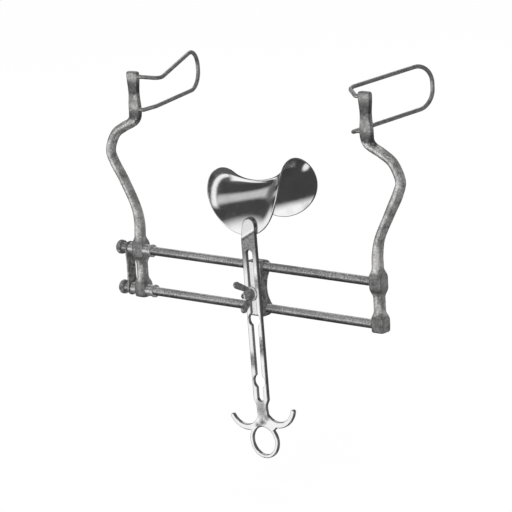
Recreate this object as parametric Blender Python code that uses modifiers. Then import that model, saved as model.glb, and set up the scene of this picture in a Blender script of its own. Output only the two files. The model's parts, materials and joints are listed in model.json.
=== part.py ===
"""Self-retaining abdominal retractor: two arms on slide rods, wire side blades, slotted centre blade.

Metres. X runs along the rods, +Y goes down into the wound and +Z along the arms.
The origin is on the flat back of the carriage, in the plane of the rods and midway between them.
"""
import math

import bmesh
import bpy
from mathutils import Matrix, Vector

MM = 0.001

# Clearance between pieces that touch or run on each other
FIT = 0.3 * MM

# Slide rods
ROD_RADIUS = 3.0 * MM
ROD_PITCH = 28.4 * MM
SPREAD = 205.2 * MM
FIXED_ARM_X = 99.0 * MM
ROD_SEAT_DEPTH = 7.5 * MM

# Forged arms
BAR_RADIUS = 3.5 * MM
WAIST_RADIUS = 4.0 * MM
BOSS_HALF_WIDTH = 5.0 * MM
BOSS_HALF_DEPTH = 5.0 * MM
BOSS_REACH = 9.5 * MM
FOOT_DROP = 4.6 * MM
FOOT_CHAMFER = 1.1 * MM
BOW_OUT = 21.7 * MM
BOW_HEIGHT = 82.5 * MM
ELBOW_IN = 3.5 * MM
ELBOW_HEIGHT = 104.7 * MM
LOWER_HOLE_RISE = 7.7 * MM
HOLE_PITCH = 22.6 * MM
PLATE_TOP_MARGIN = 3.4 * MM
PLATE_HALF_WIDTH = 4.8 * MM
PLATE_WAIST = 3.9 * MM
PLATE_HALF_DEPTH = 2.0 * MM
PLATE_CORNER = 1.6 * MM

# Wire side blades
WIRE_RADIUS = 1.4 * MM
WIRE_SEAT = 5.5 * MM
WIRE_STEP_IN = 13.5 * MM
WIRE_STEP_DEEP = 7.5 * MM
WIRE_FLARE = 0.8 * MM
LOWER_STEP_IN = 10.5 * MM
BLADE_DEPTH = 69.2 * MM
FAR_HALF_HEIGHT = 14.6 * MM
FAR_RISE = 7.1 * MM
FAR_OUT = 1.5 * MM
NEAR_BEND = 6.0 * MM
FAR_BEND = 12.5 * MM

# Both wires are bent by hand: how far each departs from the mean, outward for the fixed one
BEND_SPREAD = 2.3 * MM
LIFT_SPREAD = 0.8 * MM
DEPTH_SPREAD = 0.6 * MM

# Sleeves in the sliding arm
SLEEVE_WALL = 0.6 * MM
SLEEVE_OUTER_REACH = 9.4 * MM
SLEEVE_INNER_REACH = 11.2 * MM
RING_RADIUS = 4.4 * MM
RING_WIDTH = 1.8 * MM

# Link and screws at the rods' free ends
LINK_THICKNESS = 1.4 * MM
LINK_HALF_WIDTH = 4.8 * MM
LINK_WAIST = 3.9 * MM
SHANK_RADIUS = 1.6 * MM
SHANK_GRIP = 7.0 * MM
NECK_RADIUS = 3.1 * MM
NECK_LENGTH = 4.2 * MM
KNOB_RADIUS = 4.9 * MM
KNOB_LENGTH = 4.2 * MM

# Carriage, stud, washer and wing nut
CARRIAGE_HALF_LENGTH = 5.4 * MM
CARRIAGE_WALL = 1.4 * MM
CARRIAGE_FRONT = 6.7 * MM
CARRIAGE_FILLET = 5.0 * MM
STUD_RADIUS = 2.2 * MM
STUD_DROP = 2.4 * MM
STUD_SEAT = 4.9 * MM
STUD_PROUD = 9.2 * MM
STUD_DIMPLE = 1.3 * MM
WASHER_RADIUS = 5.0 * MM
WASHER_THICKNESS = 0.9 * MM
HUB_RADIUS = 4.0 * MM
HUB_TOP_RADIUS = 3.1 * MM
HUB_HEIGHT = 4.8 * MM
WING_SPAN = 21.5 * MM
WING_SWEEP = 8.0 * MM
WING_TIP_RADIUS = 2.3 * MM
WING_THICKNESS = 2.0 * MM
WING_TURN = math.radians(18.0)

# Slotted handle of the centre blade
HANDLE_TILT = math.radians(1.4)
HEAD_ROLL = math.radians(9.2)
HANDLE_THICKNESS = 2.8 * MM
HANDLE_HALF_WIDTH = 6.2 * MM
TONGUE_TOP = 50.6 * MM
SLOT_HALF_WIDTH = 2.6 * MM
SLOT_TOP = 29.2 * MM
SLOT_BOTTOM = -74.4 * MM
KEYHOLE_RADIUS = 4.8 * MM
KEYHOLE_HEIGHTS = (-18.2 * MM, -60.6 * MM)
SHOULDER_Z = -73.4 * MM
NECK_HALF_WIDTH = 3.8 * MM
HOOK_RADIUS = 11.8 * MM
HOOK_OUT = 14.4 * MM
HOOK_LOW_Z = -89.6 * MM
HOOK_ROOT = 4.5 * MM
HOOK_TIP = 3.2 * MM
HOOK_SWEEP = math.radians(67.0)
RING_HOLE_RADIUS = 9.6 * MM
RING_BAND = 2.5 * MM
RING_Z = -101.9 * MM

# Saddle-shaped centre blade, in the handle's own frame: across, deep and up from the stud
SHEET = 1.2 * MM
NEAR_LIP_Z = 38.6 * MM
FAR_LIP_Y = 34.3 * MM
FAR_LIP_Z = 42.9 * MM
EAR_X = 32.5 * MM
EAR_Y = 14.8 * MM
EAR_Z = 83.9 * MM
CROWN_Y = 16.2 * MM
CROWN_Z = 71.6 * MM
RIM_FULLNESS = 4.7 * MM
LIP_FULLNESS = 4.9 * MM
LIP_FALL = 2.0 * MM
WALL_FULLNESS = 3.4 * MM

# Places that follow from the sizes above
BORE_RADIUS = ROD_RADIUS + FIT
ROD_HEIGHTS = (ROD_PITCH / 2, -ROD_PITCH / 2)
LEVELS = ("upper", "lower")
SLIDING_ARM_X = FIXED_ARM_X - SPREAD
LOWER_HOLE_Z = ELBOW_HEIGHT + LOWER_HOLE_RISE
UPPER_HOLE_Z = LOWER_HOLE_Z + HOLE_PITCH
ARM_HEIGHT = UPPER_HOLE_Z + PLATE_TOP_MARGIN
SLEEVE_RADIUS = BORE_RADIUS + SLEEVE_WALL
LINK_INNER_X = SLIDING_ARM_X - SLEEVE_OUTER_REACH - FIT
ROD_END_X = LINK_INNER_X + FIT
LINK_OUTER_X = LINK_INNER_X - LINK_THICKNESS
FOOT_Z = -ROD_PITCH / 2 - FOOT_DROP
HANDLE_BACK = -CARRIAGE_FRONT - FIT
HANDLE_FRONT = HANDLE_BACK - HANDLE_THICKNESS
WASHER_FRONT = HANDLE_FRONT - FIT - WASHER_THICKNESS
HUB_BASE = WASHER_FRONT - FIT
NEAR_LIP_Y = HANDLE_BACK + FIT

STEEL_SATIN = ("satin_steel", (0.52, 0.52, 0.53), 0.38)
STEEL_DARK = ("dark_steel", (0.30, 0.30, 0.31), 0.32)
STEEL_BRIGHT = ("bright_steel", (0.72, 0.72, 0.73), 0.16)
STEEL_MIRROR = ("mirror_steel", (0.82, 0.82, 0.83), 0.06)


def clear_scene():
    for obj in list(bpy.data.objects):
        bpy.data.objects.remove(obj)


def new_collection(name):
    collection = bpy.data.collections.new(name)
    bpy.context.scene.collection.children.link(collection)
    return collection


def steel(finish, node):
    name, colour, roughness = finish
    material = bpy.data.materials.new(f"{name}_{node}")
    material.use_nodes = True
    shader = material.node_tree.nodes["Principled BSDF"]
    shader.inputs["Base Color"].default_value = (*colour, 1.0)
    shader.inputs["Roughness"].default_value = roughness
    shader.inputs["Metallic"].default_value = 1.0
    return material


def add_part(name, mesh, finish, parent=None):
    obj = bpy.data.objects.new(name, mesh)
    parts.objects.link(obj)
    mesh.materials.clear()
    mesh.materials.append(steel(finish, name))
    obj.parent = parent
    return obj


def add_cutter(name, mesh):
    obj = bpy.data.objects.new(name, mesh)
    cutters.objects.link(obj)
    obj.hide_render = True
    obj.display_type = "WIRE"
    return obj


def add_empty(name, place):
    obj = bpy.data.objects.new(name, None)
    parts.objects.link(obj)
    obj.location = place
    return obj


def boolean(obj, other, operation="DIFFERENCE"):
    modifier = obj.modifiers.new(f"{operation.lower()}_{other.name}", "BOOLEAN")
    modifier.operation = operation
    modifier.solver = "EXACT"
    modifier.object = other


def bevel(obj, width, angle=math.radians(40)):
    modifier = obj.modifiers.new("soft_edges", "BEVEL")
    modifier.width = width
    modifier.segments = 1
    modifier.limit_method = "ANGLE"
    modifier.angle_limit = angle


def mesh_from(bm, name):
    bmesh.ops.recalc_face_normals(bm, faces=bm.faces)
    mesh = bpy.data.meshes.new(name)
    bm.to_mesh(mesh)
    bm.free()
    return mesh


def smooth(mesh):
    mesh.shade_smooth()
    mesh.set_sharp_from_angle(angle=math.radians(40))


def cylinder_mesh(name, radius, start, end, sides=24):
    """A closed cylinder between two points."""
    axis = Vector(end) - Vector(start)
    turn = axis.to_track_quat("Z", "Y").to_matrix().to_4x4()
    place = Matrix.Translation((Vector(start) + Vector(end)) / 2) @ turn
    bm = bmesh.new()
    bmesh.ops.create_cone(bm, cap_ends=True, segments=sides, radius1=radius, radius2=radius,
                          depth=axis.length, matrix=place)
    return mesh_from(bm, name)


def turned_object(name, profile, finish, parent=None):
    """Turns (radius, height) points, listed down the outer side, about the object's own Z."""
    mesh = bpy.data.meshes.new(name)
    closed = profile[0][0] > 0
    count = len(profile)
    edges = [(i, (i + 1) % count) for i in range(count if closed else count - 1)]
    mesh.from_pydata([(r, 0.0, z) for r, z in profile], edges, [])
    obj = add_part(name, mesh, finish, parent)
    screw = obj.modifiers.new("turn", "SCREW")
    screw.steps = screw.render_steps = 24
    screw.use_merge_vertices = True
    screw.merge_threshold = 0.00001
    screw.use_smooth_shade = True
    return obj


def outline_mesh(name, loops, thickness):
    """A flat plate from closed loops of 2D points, centred on its own XY plane."""
    curve = bpy.data.curves.new(name, "CURVE")
    curve.dimensions = "2D"
    curve.fill_mode = "BOTH"
    curve.extrude = thickness / 2
    for loop in loops:
        spline = curve.splines.new("POLY")
        spline.points.add(len(loop) - 1)
        for point, (u, v) in zip(spline.points, loop):
            point.co = (u, v, 0.0, 1.0)
        spline.use_cyclic_u = True
    return mesh_from_curve(name, curve)


def mesh_from_curve(name, curve):
    guide = bpy.data.objects.new(f"{name}_curve", curve)
    bpy.context.scene.collection.objects.link(guide)
    depsgraph = bpy.context.evaluated_depsgraph_get()
    mesh = bpy.data.meshes.new_from_object(guide.evaluated_get(depsgraph))
    bpy.data.objects.remove(guide)
    bm = bmesh.new()
    bm.from_mesh(mesh)
    bmesh.ops.remove_doubles(bm, verts=bm.verts, dist=0.000005)
    bpy.data.meshes.remove(mesh)
    return mesh_from(bm, name)


def polar(centre, radius, angle):
    return (centre[0] + radius * math.cos(angle), centre[1] + radius * math.sin(angle))


def arc(centre, radius, start, end, steps):
    """Points of a circular arc from one angle to another, both ends included."""
    return [polar(centre, radius, start + (end - start) * i / steps) for i in range(steps + 1)]


def ease(low, high, value):
    t = min(max((value - low) / (high - low), 0.0), 1.0)
    return t * t * (3 - 2 * t)


def mix(a, b, t):
    return a + (b - a) * t


def spline_through(points, steps):
    """A smooth curve through the points, with a few steps between each pair."""
    ends = [points[0] * 2 - points[1], *points, points[-1] * 2 - points[-2]]
    curve = []
    for a, b, c, d in zip(ends, ends[1:], ends[2:], ends[3:]):
        for i in range(steps):
            t = i / steps
            curve.append(0.5 * (2 * b + (c - a) * t + (2 * a - 5 * b + 4 * c - d) * t * t
                                + (3 * b - a - 3 * c + d) * t ** 3))
    curve.append(points[-1].copy())
    return curve


def arm_route():
    """The arm's centreline as (outward, height): straight past the rods, bow, elbow, upright plate."""
    stations = [BOSS_REACH * t for t in (0.0, 0.35, 0.5, 0.65, 0.8, 1.0)]
    lower, upper = -ROD_PITCH / 2, ROD_PITCH / 2
    heights = [FOOT_Z, *(lower + t for t in stations), *(upper - t for t in reversed(stations)),
               *(upper + t for t in stations[1:-1])]
    knots = [(0, upper + BOSS_REACH),
             (0.02 * BOW_OUT, mix(upper, BOW_HEIGHT, 0.28)),
             (0.16 * BOW_OUT, mix(upper, BOW_HEIGHT, 0.47)),
             (0.50 * BOW_OUT, mix(upper, BOW_HEIGHT, 0.70)),
             (0.86 * BOW_OUT, mix(upper, BOW_HEIGHT, 0.875)),
             (BOW_OUT, BOW_HEIGHT),
             (0.76 * BOW_OUT, mix(BOW_HEIGHT, ELBOW_HEIGHT, 0.50)),
             (0.37 * BOW_OUT, mix(BOW_HEIGHT, ELBOW_HEIGHT, 0.755)),
             (0.05 * BOW_OUT, mix(BOW_HEIGHT, ELBOW_HEIGHT, 0.905)),
             (-0.65 * ELBOW_IN, ELBOW_HEIGHT + 0.25 * BAR_RADIUS),
             (-ELBOW_IN, mix(ELBOW_HEIGHT, LOWER_HOLE_Z, 0.65)),
             (-ELBOW_IN, mix(LOWER_HOLE_Z, UPPER_HOLE_Z, 0.2)),
             (-ELBOW_IN, mix(LOWER_HOLE_Z, UPPER_HOLE_Z, 0.6)),
             (-ELBOW_IN, ARM_HEIGHT)]
    return [Vector((0, z)) for z in heights] + spline_through([Vector(k) for k in knots], 3)


def arm_section(height):
    """Half width, half depth and squareness of the forging at a height."""
    boss = max(1 - ease(0.35 * BOSS_REACH, BOSS_REACH, abs(height - z)) for z in ROD_HEIGHTS)
    plate = ease(ELBOW_HEIGHT - BAR_RADIUS, LOWER_HOLE_Z - WIRE_RADIUS, height)
    radius = mix(WAIST_RADIUS, BAR_RADIUS, ease(ROD_PITCH / 2, ROD_PITCH, height))
    middle = (LOWER_HOLE_Z + UPPER_HOLE_Z) / 2
    half_gap = (UPPER_HOLE_Z - LOWER_HOLE_Z) / 2
    waist = 1 - ease(0.0, half_gap, abs(height - middle))
    width = mix(radius, BOSS_HALF_WIDTH, boss)
    width = mix(width, mix(PLATE_HALF_WIDTH, PLATE_WAIST, waist), plate)
    depth = mix(mix(radius, BOSS_HALF_DEPTH, boss), PLATE_HALF_DEPTH, plate)
    squareness = 2 + 3.5 * boss + 4 * plate
    return width, depth, squareness


def superellipse(width, depth, power, sides):
    points = []
    for i in range(sides):
        c = math.cos(2 * math.pi * (i + 0.5) / sides)
        s = math.sin(2 * math.pi * (i + 0.5) / sides)
        points.append((width * math.copysign(abs(c) ** (2 / power), c),
                       depth * math.copysign(abs(s) ** (2 / power), s)))
    return points


def arm_rings():
    """Centre, in-plane normal and section of each ring, with a chamfered foot and a rounded top."""
    route = arm_route()
    rings = []
    for i, point in enumerate(route):
        ahead = route[min(i + 1, len(route) - 1)] - route[max(i - 1, 0)]
        across = Vector((ahead.y, -ahead.x)).normalized()
        rings.append((point, across, *arm_section(point.y)))
    foot, foot_across, width, depth, power = rings[0]
    lift = Vector((0, FOOT_CHAMFER))
    rings[0] = (foot, foot_across, width - FOOT_CHAMFER, depth - FOOT_CHAMFER, power)
    rings.insert(1, (foot + lift, foot_across, width, depth, power))
    top, across, width, depth, power = rings.pop()
    for turn in (0.0, 30.0, 60.0, 90.0):
        rise = PLATE_CORNER * (math.sin(math.radians(turn)) - 1)
        inset = PLATE_CORNER * (1 - math.cos(math.radians(turn)))
        rings.append((top + Vector((0, rise)), across, width - inset, depth - 0.5 * inset, power))
    return rings


def arm_mesh(name, arm_x, side):
    """The forging lofted from foot to top. side is +1 on the right and -1 on the left."""
    bm = bmesh.new()
    sides = 16
    loops = []
    for centre, across, width, depth, power in arm_rings():
        loop = []
        for u, v in superellipse(width, depth, power, sides):
            spot = centre + across * u
            loop.append(bm.verts.new((arm_x + side * spot.x, v, spot.y)))
        loops.append(loop)
    for low, high in zip(loops, loops[1:]):
        for i in range(sides):
            j = (i + 1) % sides
            bm.faces.new((low[i], low[j], high[j], high[i]))
    bm.faces.new(loops[0])
    bm.faces.new(loops[-1])
    mesh = mesh_from(bm, name)
    smooth(mesh)
    return mesh


def plate_face(arm_x, side):
    """X of the upright plate's inner face, where the wire goes in."""
    return arm_x - side * (ELBOW_IN + PLATE_HALF_WIDTH)


def build_arm(name, arm_x, side, bore_radius, bore_start, bore_end):
    """One arm with its two rod bores and the two blind holes for the wire."""
    obj = add_part(name, arm_mesh(name, arm_x, side), STEEL_SATIN)
    for z, level in zip(ROD_HEIGHTS, LEVELS):
        bore = cylinder_mesh(f"{name}_{level}_bore", bore_radius, (bore_start, 0, z), (bore_end, 0, z))
        boolean(obj, add_cutter(bore.name, bore))
    face = plate_face(arm_x, side)
    for z, level in zip((UPPER_HOLE_Z, LOWER_HOLE_Z), LEVELS):
        hole = cylinder_mesh(f"{name}_{level}_wire_hole", WIRE_RADIUS + FIT,
                             (face - side * PLATE_HALF_WIDTH, 0, z),
                             (face + side * (WIRE_SEAT + FIT), 0, z), sides=16)
        boolean(obj, add_cutter(hole.name, hole))


def rounded_route(corners, radii, steps):
    """Straight runs between the corners, with each inner corner rounded by a smooth arc."""
    route = [corners[0]]
    for before, corner, after, radius in zip(corners, corners[1:], corners[2:], radii):
        back = (before - corner).normalized()
        ahead = (after - corner).normalized()
        half = back.angle(ahead) / 2
        reach = radius / math.tan(half)
        bisector = (back + ahead).normalized()
        centre = corner + bisector * (radius / math.sin(half))
        start = corner + back * reach - centre
        end = corner + ahead * reach - centre
        sweep = start.angle(end)
        for i in range(steps + 1):
            t = i / steps
            blend = (math.sin((1 - t) * sweep) * start + math.sin(t * sweep) * end) / math.sin(sweep)
            route.append(centre + blend)
    route.append(corners[-1])
    return route


def build_wire_blade(name, arm_x, side):
    """One side blade: a single wire from hole to hole, stepped in, then splayed round the wound edge."""
    face = plate_face(arm_x, side)
    far_x = face + side * (PLATE_HALF_WIDTH + FAR_OUT)
    depth = BLADE_DEPTH + side * DEPTH_SPREAD
    bend = side * BEND_SPREAD
    far_middle = (LOWER_HOLE_Z + UPPER_HOLE_Z) / 2 + FAR_RISE + side * LIFT_SPREAD
    upper_z = far_middle + FAR_HALF_HEIGHT
    lower_z = far_middle - FAR_HALF_HEIGHT
    corners = [Vector((face + side * WIRE_SEAT, 0, UPPER_HOLE_Z)),
               Vector((face - side * 2 * WIRE_RADIUS, 0, UPPER_HOLE_Z)),
               Vector((face - side * WIRE_STEP_IN, WIRE_STEP_DEEP, UPPER_HOLE_Z + WIRE_FLARE + bend)),
               Vector((far_x, depth, upper_z)),
               Vector((far_x, depth, lower_z)),
               Vector((face - side * LOWER_STEP_IN, 0.6 * WIRE_STEP_DEEP, LOWER_HOLE_Z - bend)),
               Vector((face - side * 2 * WIRE_RADIUS, 0, LOWER_HOLE_Z)),
               Vector((face + side * WIRE_SEAT, 0, LOWER_HOLE_Z))]
    radii = (2 * WIRE_RADIUS, NEAR_BEND, FAR_BEND, FAR_BEND, 0.6 * NEAR_BEND, 2 * WIRE_RADIUS)
    curve = bpy.data.curves.new(name, "CURVE")
    curve.dimensions = "3D"
    curve.bevel_depth = WIRE_RADIUS
    curve.bevel_resolution = 2
    curve.use_fill_caps = True
    spline = curve.splines.new("POLY")
    route = rounded_route(corners, radii, 6)
    spline.points.add(len(route) - 1)
    for point, place in zip(spline.points, route):
        point.co = (*place, 1.0)
    mesh = mesh_from_curve(name, curve)
    smooth(mesh)
    add_part(name, mesh, STEEL_SATIN)


def build_rod(name, height):
    end = FIXED_ARM_X - BOSS_HALF_WIDTH + ROD_SEAT_DEPTH
    mesh = cylinder_mesh(name, ROD_RADIUS, (ROD_END_X, 0, height), (end, 0, height))
    smooth(mesh)
    obj = add_part(name, mesh, STEEL_DARK)
    hole = cylinder_mesh(f"{name}_screw_hole", SHANK_RADIUS + FIT, (ROD_END_X - SHANK_GRIP, 0, height),
                         (ROD_END_X + SHANK_GRIP + FIT, 0, height))
    boolean(obj, add_cutter(hole.name, hole))


def build_sleeve(name, height):
    """A thin bush through the arm's boss, with a stop ring at its inner end."""
    length = SLEEVE_OUTER_REACH + SLEEVE_INNER_REACH
    edge = 0.3 * MM
    profile = [(RING_RADIUS - edge, length),
               (RING_RADIUS, length - edge),
               (RING_RADIUS, length - RING_WIDTH + edge),
               (RING_RADIUS - edge, length - RING_WIDTH),
               (SLEEVE_RADIUS, length - RING_WIDTH),
               (SLEEVE_RADIUS, 0.0),
               (BORE_RADIUS, 0.0),
               (BORE_RADIUS, length)]
    obj = turned_object(name, profile, STEEL_BRIGHT)
    obj.location = (SLIDING_ARM_X - SLEEVE_OUTER_REACH, 0, height)
    obj.rotation_euler = (0, math.pi / 2, 0)


def build_link():
    """The flat strap over both rods' ends."""
    top = arc((0, ROD_PITCH / 2), LINK_HALF_WIDTH, 0, math.pi, 12)
    waist = [(-LINK_WAIST, ROD_PITCH / 6), (-LINK_WAIST, -ROD_PITCH / 6)]
    side = top + waist
    bottom = [(-u, -v) for u, v in side]
    holes = [arc((0, z), SHANK_RADIUS + FIT, 0, 2 * math.pi, 16)[:-1] for z in ROD_HEIGHTS]
    mesh = outline_mesh("end_link", [side + bottom, *holes], LINK_THICKNESS)
    obj = add_part("end_link", mesh, STEEL_DARK)
    obj.location = ((LINK_INNER_X + LINK_OUTER_X) / 2, 0, 0)
    obj.rotation_euler = (math.pi / 2, 0, math.pi / 2)


def build_end_screw(name, height):
    """Round-headed screw: shank into the rod, neck on the link, rounded knob."""
    knob_top = NECK_LENGTH + KNOB_LENGTH
    rim = 0.36 * KNOB_LENGTH
    shank_end = -(FIT + LINK_THICKNESS + FIT + SHANK_GRIP)
    crown = arc((KNOB_RADIUS - rim, knob_top - rim), rim, math.pi / 2, 0, 4)
    base = arc((KNOB_RADIUS - rim, NECK_LENGTH + rim), rim, 0, -math.pi / 2, 4)
    profile = [(0, knob_top + 0.3 * MM), *crown, *base,
               (NECK_RADIUS, NECK_LENGTH), (NECK_RADIUS, 0.0),
               (SHANK_RADIUS, 0.0), (SHANK_RADIUS, shank_end), (0, shank_end)]
    obj = turned_object(name, profile, STEEL_DARK)
    obj.location = (LINK_OUTER_X - FIT, 0, height)
    obj.rotation_euler = (0, -math.pi / 2, 0)


def build_carriage(parent):
    """The slider: a block with a flat front, two rod bosses and a hollowed flat back."""
    boss = BORE_RADIUS + CARRIAGE_WALL
    reach = math.sqrt((boss + CARRIAGE_FILLET) ** 2 - CARRIAGE_FILLET ** 2)
    turn = math.atan2(reach, -CARRIAGE_FILLET)
    corner = 1.2 * MM
    top = ROD_PITCH / 2 + boss
    upper = [*arc((CARRIAGE_FILLET, ROD_PITCH / 2 - reach), CARRIAGE_FILLET, math.pi, turn, 5),
             *arc((0, ROD_PITCH / 2), boss, turn - math.pi, math.pi / 2, 14)[1:],
             *arc((-CARRIAGE_FRONT + corner, top - corner), corner, math.pi / 2, math.pi, 3)]
    lower = [(u, -v) for u, v in reversed(upper)]
    mesh = outline_mesh("carriage", [upper + lower], 2 * CARRIAGE_HALF_LENGTH)
    mesh.transform(Matrix(((0, 0, 1, 0), (1, 0, 0, 0), (0, 1, 0, 0), (0, 0, 0, 1))))
    obj = add_part("carriage", mesh, STEEL_DARK, parent)
    past = 2 * CARRIAGE_HALF_LENGTH
    for z, level in zip(ROD_HEIGHTS, LEVELS):
        bore = cylinder_mesh(f"carriage_{level}_bore", BORE_RADIUS, (-past, 0, z), (past, 0, z))
        boolean(obj, add_cutter(bore.name, bore))
    seat = cylinder_mesh("carriage_stud_hole", STUD_RADIUS + FIT, (0, -2 * CARRIAGE_FRONT, -STUD_DROP),
                         (0, STUD_SEAT - CARRIAGE_FRONT, -STUD_DROP))
    boolean(obj, add_cutter(seat.name, seat))
    bevel(obj, 0.4 * MM)


def build_stud(parent):
    """The threaded stud: blind in the carriage, with a dimpled rounded end."""
    front = -HANDLE_FRONT + STUD_PROUD
    back = CARRIAGE_FRONT - STUD_SEAT + FIT
    edge = 0.6 * MM
    profile = [(0, front - 0.6 * STUD_DIMPLE),
               (0.6 * STUD_DIMPLE, front - 0.4 * STUD_DIMPLE),
               (STUD_DIMPLE, front),
               (STUD_RADIUS - edge, front),
               (STUD_RADIUS, front - edge),
               (STUD_RADIUS, back),
               (0, back)]
    obj = turned_object("clamp_stud", profile, STEEL_DARK, parent)
    obj.location = (0, 0, -STUD_DROP)
    obj.rotation_euler = (math.pi / 2, 0, 0)


def build_washer(parent):
    edge = 0.2 * MM
    hole = STUD_RADIUS + FIT
    profile = [(WASHER_RADIUS - edge, WASHER_THICKNESS),
               (WASHER_RADIUS, WASHER_THICKNESS - edge),
               (WASHER_RADIUS, 0.0),
               (hole, 0.0),
               (hole, WASHER_THICKNESS)]
    obj = turned_object("clamp_washer", profile, STEEL_DARK, parent)
    obj.location = (0, HANDLE_FRONT - FIT, 0)
    obj.rotation_euler = (math.pi / 2, 0, 0)


def build_wing_nut(parent):
    """Turned hub and two wings swept forwards, joined into one body."""
    hole = STUD_RADIUS + FIT
    edge = 0.4 * MM
    profile = [(HUB_TOP_RADIUS - edge, HUB_HEIGHT),
               (HUB_TOP_RADIUS, HUB_HEIGHT - edge),
               (HUB_RADIUS, 0.35 * HUB_HEIGHT),
               (HUB_RADIUS, edge),
               (HUB_RADIUS - edge, 0.0),
               (hole, 0.0),
               (hole, HUB_HEIGHT)]
    nut = turned_object("wing_nut", profile, STEEL_DARK, parent)
    nut.location = (0, HUB_BASE, 0)
    nut.rotation_euler = (math.pi / 2, 0, 0)
    root = (mix(hole, HUB_RADIUS, 0.75), 0.55 * HUB_HEIGHT)
    tip = (WING_SPAN / 2 - WING_TIP_RADIUS, root[1] + WING_SWEEP)
    lean = math.atan2(tip[1] - root[1], tip[0] - root[0])
    root_radius = 0.42 * HUB_HEIGHT
    inner_edge = hole + edge
    blade = [*arc(tip, WING_TIP_RADIUS, lean - math.pi / 2, lean + math.pi / 2, 10),
             (max(root[0] - root_radius * math.sin(lean), inner_edge), root[1] + root_radius),
             (inner_edge, 0.30 * HUB_HEIGHT),
             (root[0] + 0.5 * root_radius, 0.18 * HUB_HEIGHT)]
    for side, label in ((1, "right"), (-1, "left")):
        mesh = outline_mesh(f"wing_{label}", [[(side * u, v) for u, v in blade]], WING_THICKNESS)
        mesh.transform(Matrix.Rotation(math.pi / 2, 4, "X"))
        wing = add_cutter(f"wing_{label}", mesh)
        wing.parent = nut
        boolean(nut, wing, "UNION")
    bevel(nut, 0.3 * MM, angle=math.radians(50))


def handle_outline():
    """Right half of the outline from the tongue's top down to the neck."""
    tongue = arc((0, TONGUE_TOP - HANDLE_HALF_WIDTH), HANDLE_HALF_WIDTH, math.pi / 2, 0, 8)
    shoulder = [(HANDLE_HALF_WIDTH, SHOULDER_Z),
                (mix(HANDLE_HALF_WIDTH, NECK_HALF_WIDTH, 0.75), SHOULDER_Z - 0.9 * NECK_HALF_WIDTH)]
    return tongue + shoulder


def hook_points(side):
    """One finger hook: up the inner curve, round the tip and back under as far as the ring."""
    low = -math.pi / 2
    tip = low + HOOK_SWEEP
    root = low - math.radians(16)
    centre = (HOOK_OUT, HOOK_LOW_Z + HOOK_RADIUS)
    inner = arc(centre, HOOK_RADIUS, low - math.radians(58), tip, 9)
    cap = arc(polar(centre, HOOK_RADIUS + HOOK_TIP / 2, tip), HOOK_TIP / 2, tip + math.pi, tip, 5)
    under = []
    for i in range(1, 10):
        t = i / 9
        width = mix(HOOK_TIP, HOOK_ROOT, t * t)
        under.append(polar(centre, HOOK_RADIUS + width, mix(tip, root, t)))
    turn = Matrix.Rotation(HEAD_ROLL, 2)
    neck = Vector((0, (SHOULDER_Z + HOOK_LOW_Z) / 2))
    points = [turn @ (Vector((side * u, v)) - neck) + neck for u, v in inner + cap[1:-1] + under]
    ring_outer = RING_HOLE_RADIUS + RING_BAND
    return [(u, v) for u, v in points if math.hypot(u, v - RING_Z) > ring_outer]


def slot_outline():
    """The slot with its round ends and the two keyholes that let the nut pass."""
    half = math.asin(SLOT_HALF_WIDTH / KEYHOLE_RADIUS)
    right = arc((0, SLOT_TOP - SLOT_HALF_WIDTH), SLOT_HALF_WIDTH, math.pi / 2, 0, 5)
    for z in KEYHOLE_HEIGHTS:
        right += arc((0, z), KEYHOLE_RADIUS, math.pi / 2 - half, half - math.pi / 2, 12)
    right += arc((0, SLOT_BOTTOM + SLOT_HALF_WIDTH), SLOT_HALF_WIDTH, 0, -math.pi / 2, 5)
    left = [(-u, v) for u, v in reversed(right)]
    return right + left[1:-1]


def saddle(radius, angle):
    """A point of the centre blade's outer face. radius is 0 at the crown and 1 on the rim."""
    lips_y = (NEAR_LIP_Y + FAR_LIP_Y) / 2
    lips_z = (NEAR_LIP_Z + FAR_LIP_Z) / 2
    middle_y = (lips_y + EAR_Y) / 2
    middle_z = (lips_z + EAR_Z) / 2
    half_reach = (FAR_LIP_Y - NEAR_LIP_Y) / 2 + LIP_FULLNESS
    lean = (NEAR_LIP_Z - FAR_LIP_Z) / 2 + LIP_FALL
    one, two, three = (radius ** n for n in (1, 2, 3))
    inside = 1 - two
    x = (EAR_X + RIM_FULLNESS) * one * math.sin(angle) + RIM_FULLNESS * three * math.sin(3 * angle)
    y = (middle_y - half_reach * one * math.cos(angle) + (lips_y - EAR_Y) / 2 * two * math.cos(2 * angle)
         + LIP_FULLNESS * three * math.cos(3 * angle) + (CROWN_Y - middle_y) * inside
         - WALL_FULLNESS * one * inside * math.cos(angle))
    z = (middle_z + lean * one * math.cos(angle) + (lips_z - EAR_Z) / 2 * two * math.cos(2 * angle)
         - LIP_FALL * three * math.cos(3 * angle) + (CROWN_Z - middle_z) * inside)
    rise = Vector((x, z - NEAR_LIP_Z))
    rise.rotate(Matrix.Rotation(HEAD_ROLL, 2))
    return Vector((rise.x, y, rise.y + NEAR_LIP_Z))


def lip_depth(x, z):
    """Depth of the blade's near lip straight behind a point of the handle, by Newton's steps."""
    u, v = 0.0, 0.95
    step = 0.001

    def at(across, up):
        return saddle(math.hypot(across, up), math.atan2(across, up))

    for _ in range(12):
        spot = at(u, v)
        du = (at(u + step, v) - spot) / step
        dv = (at(u, v + step) - spot) / step
        det = du.x * dv.z - dv.x * du.z
        miss_x = x - spot.x
        miss_z = z - spot.z
        u += (miss_x * dv.z - miss_z * dv.x) / det
        v += (du.x * miss_z - du.z * miss_x) / det
    spot = at(u, v)
    slope_u = at(u + step, v) - spot
    slope_v = at(u, v + step) - spot
    normal = slope_u.cross(slope_v).normalized()
    return spot.y, abs(normal.y)


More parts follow.
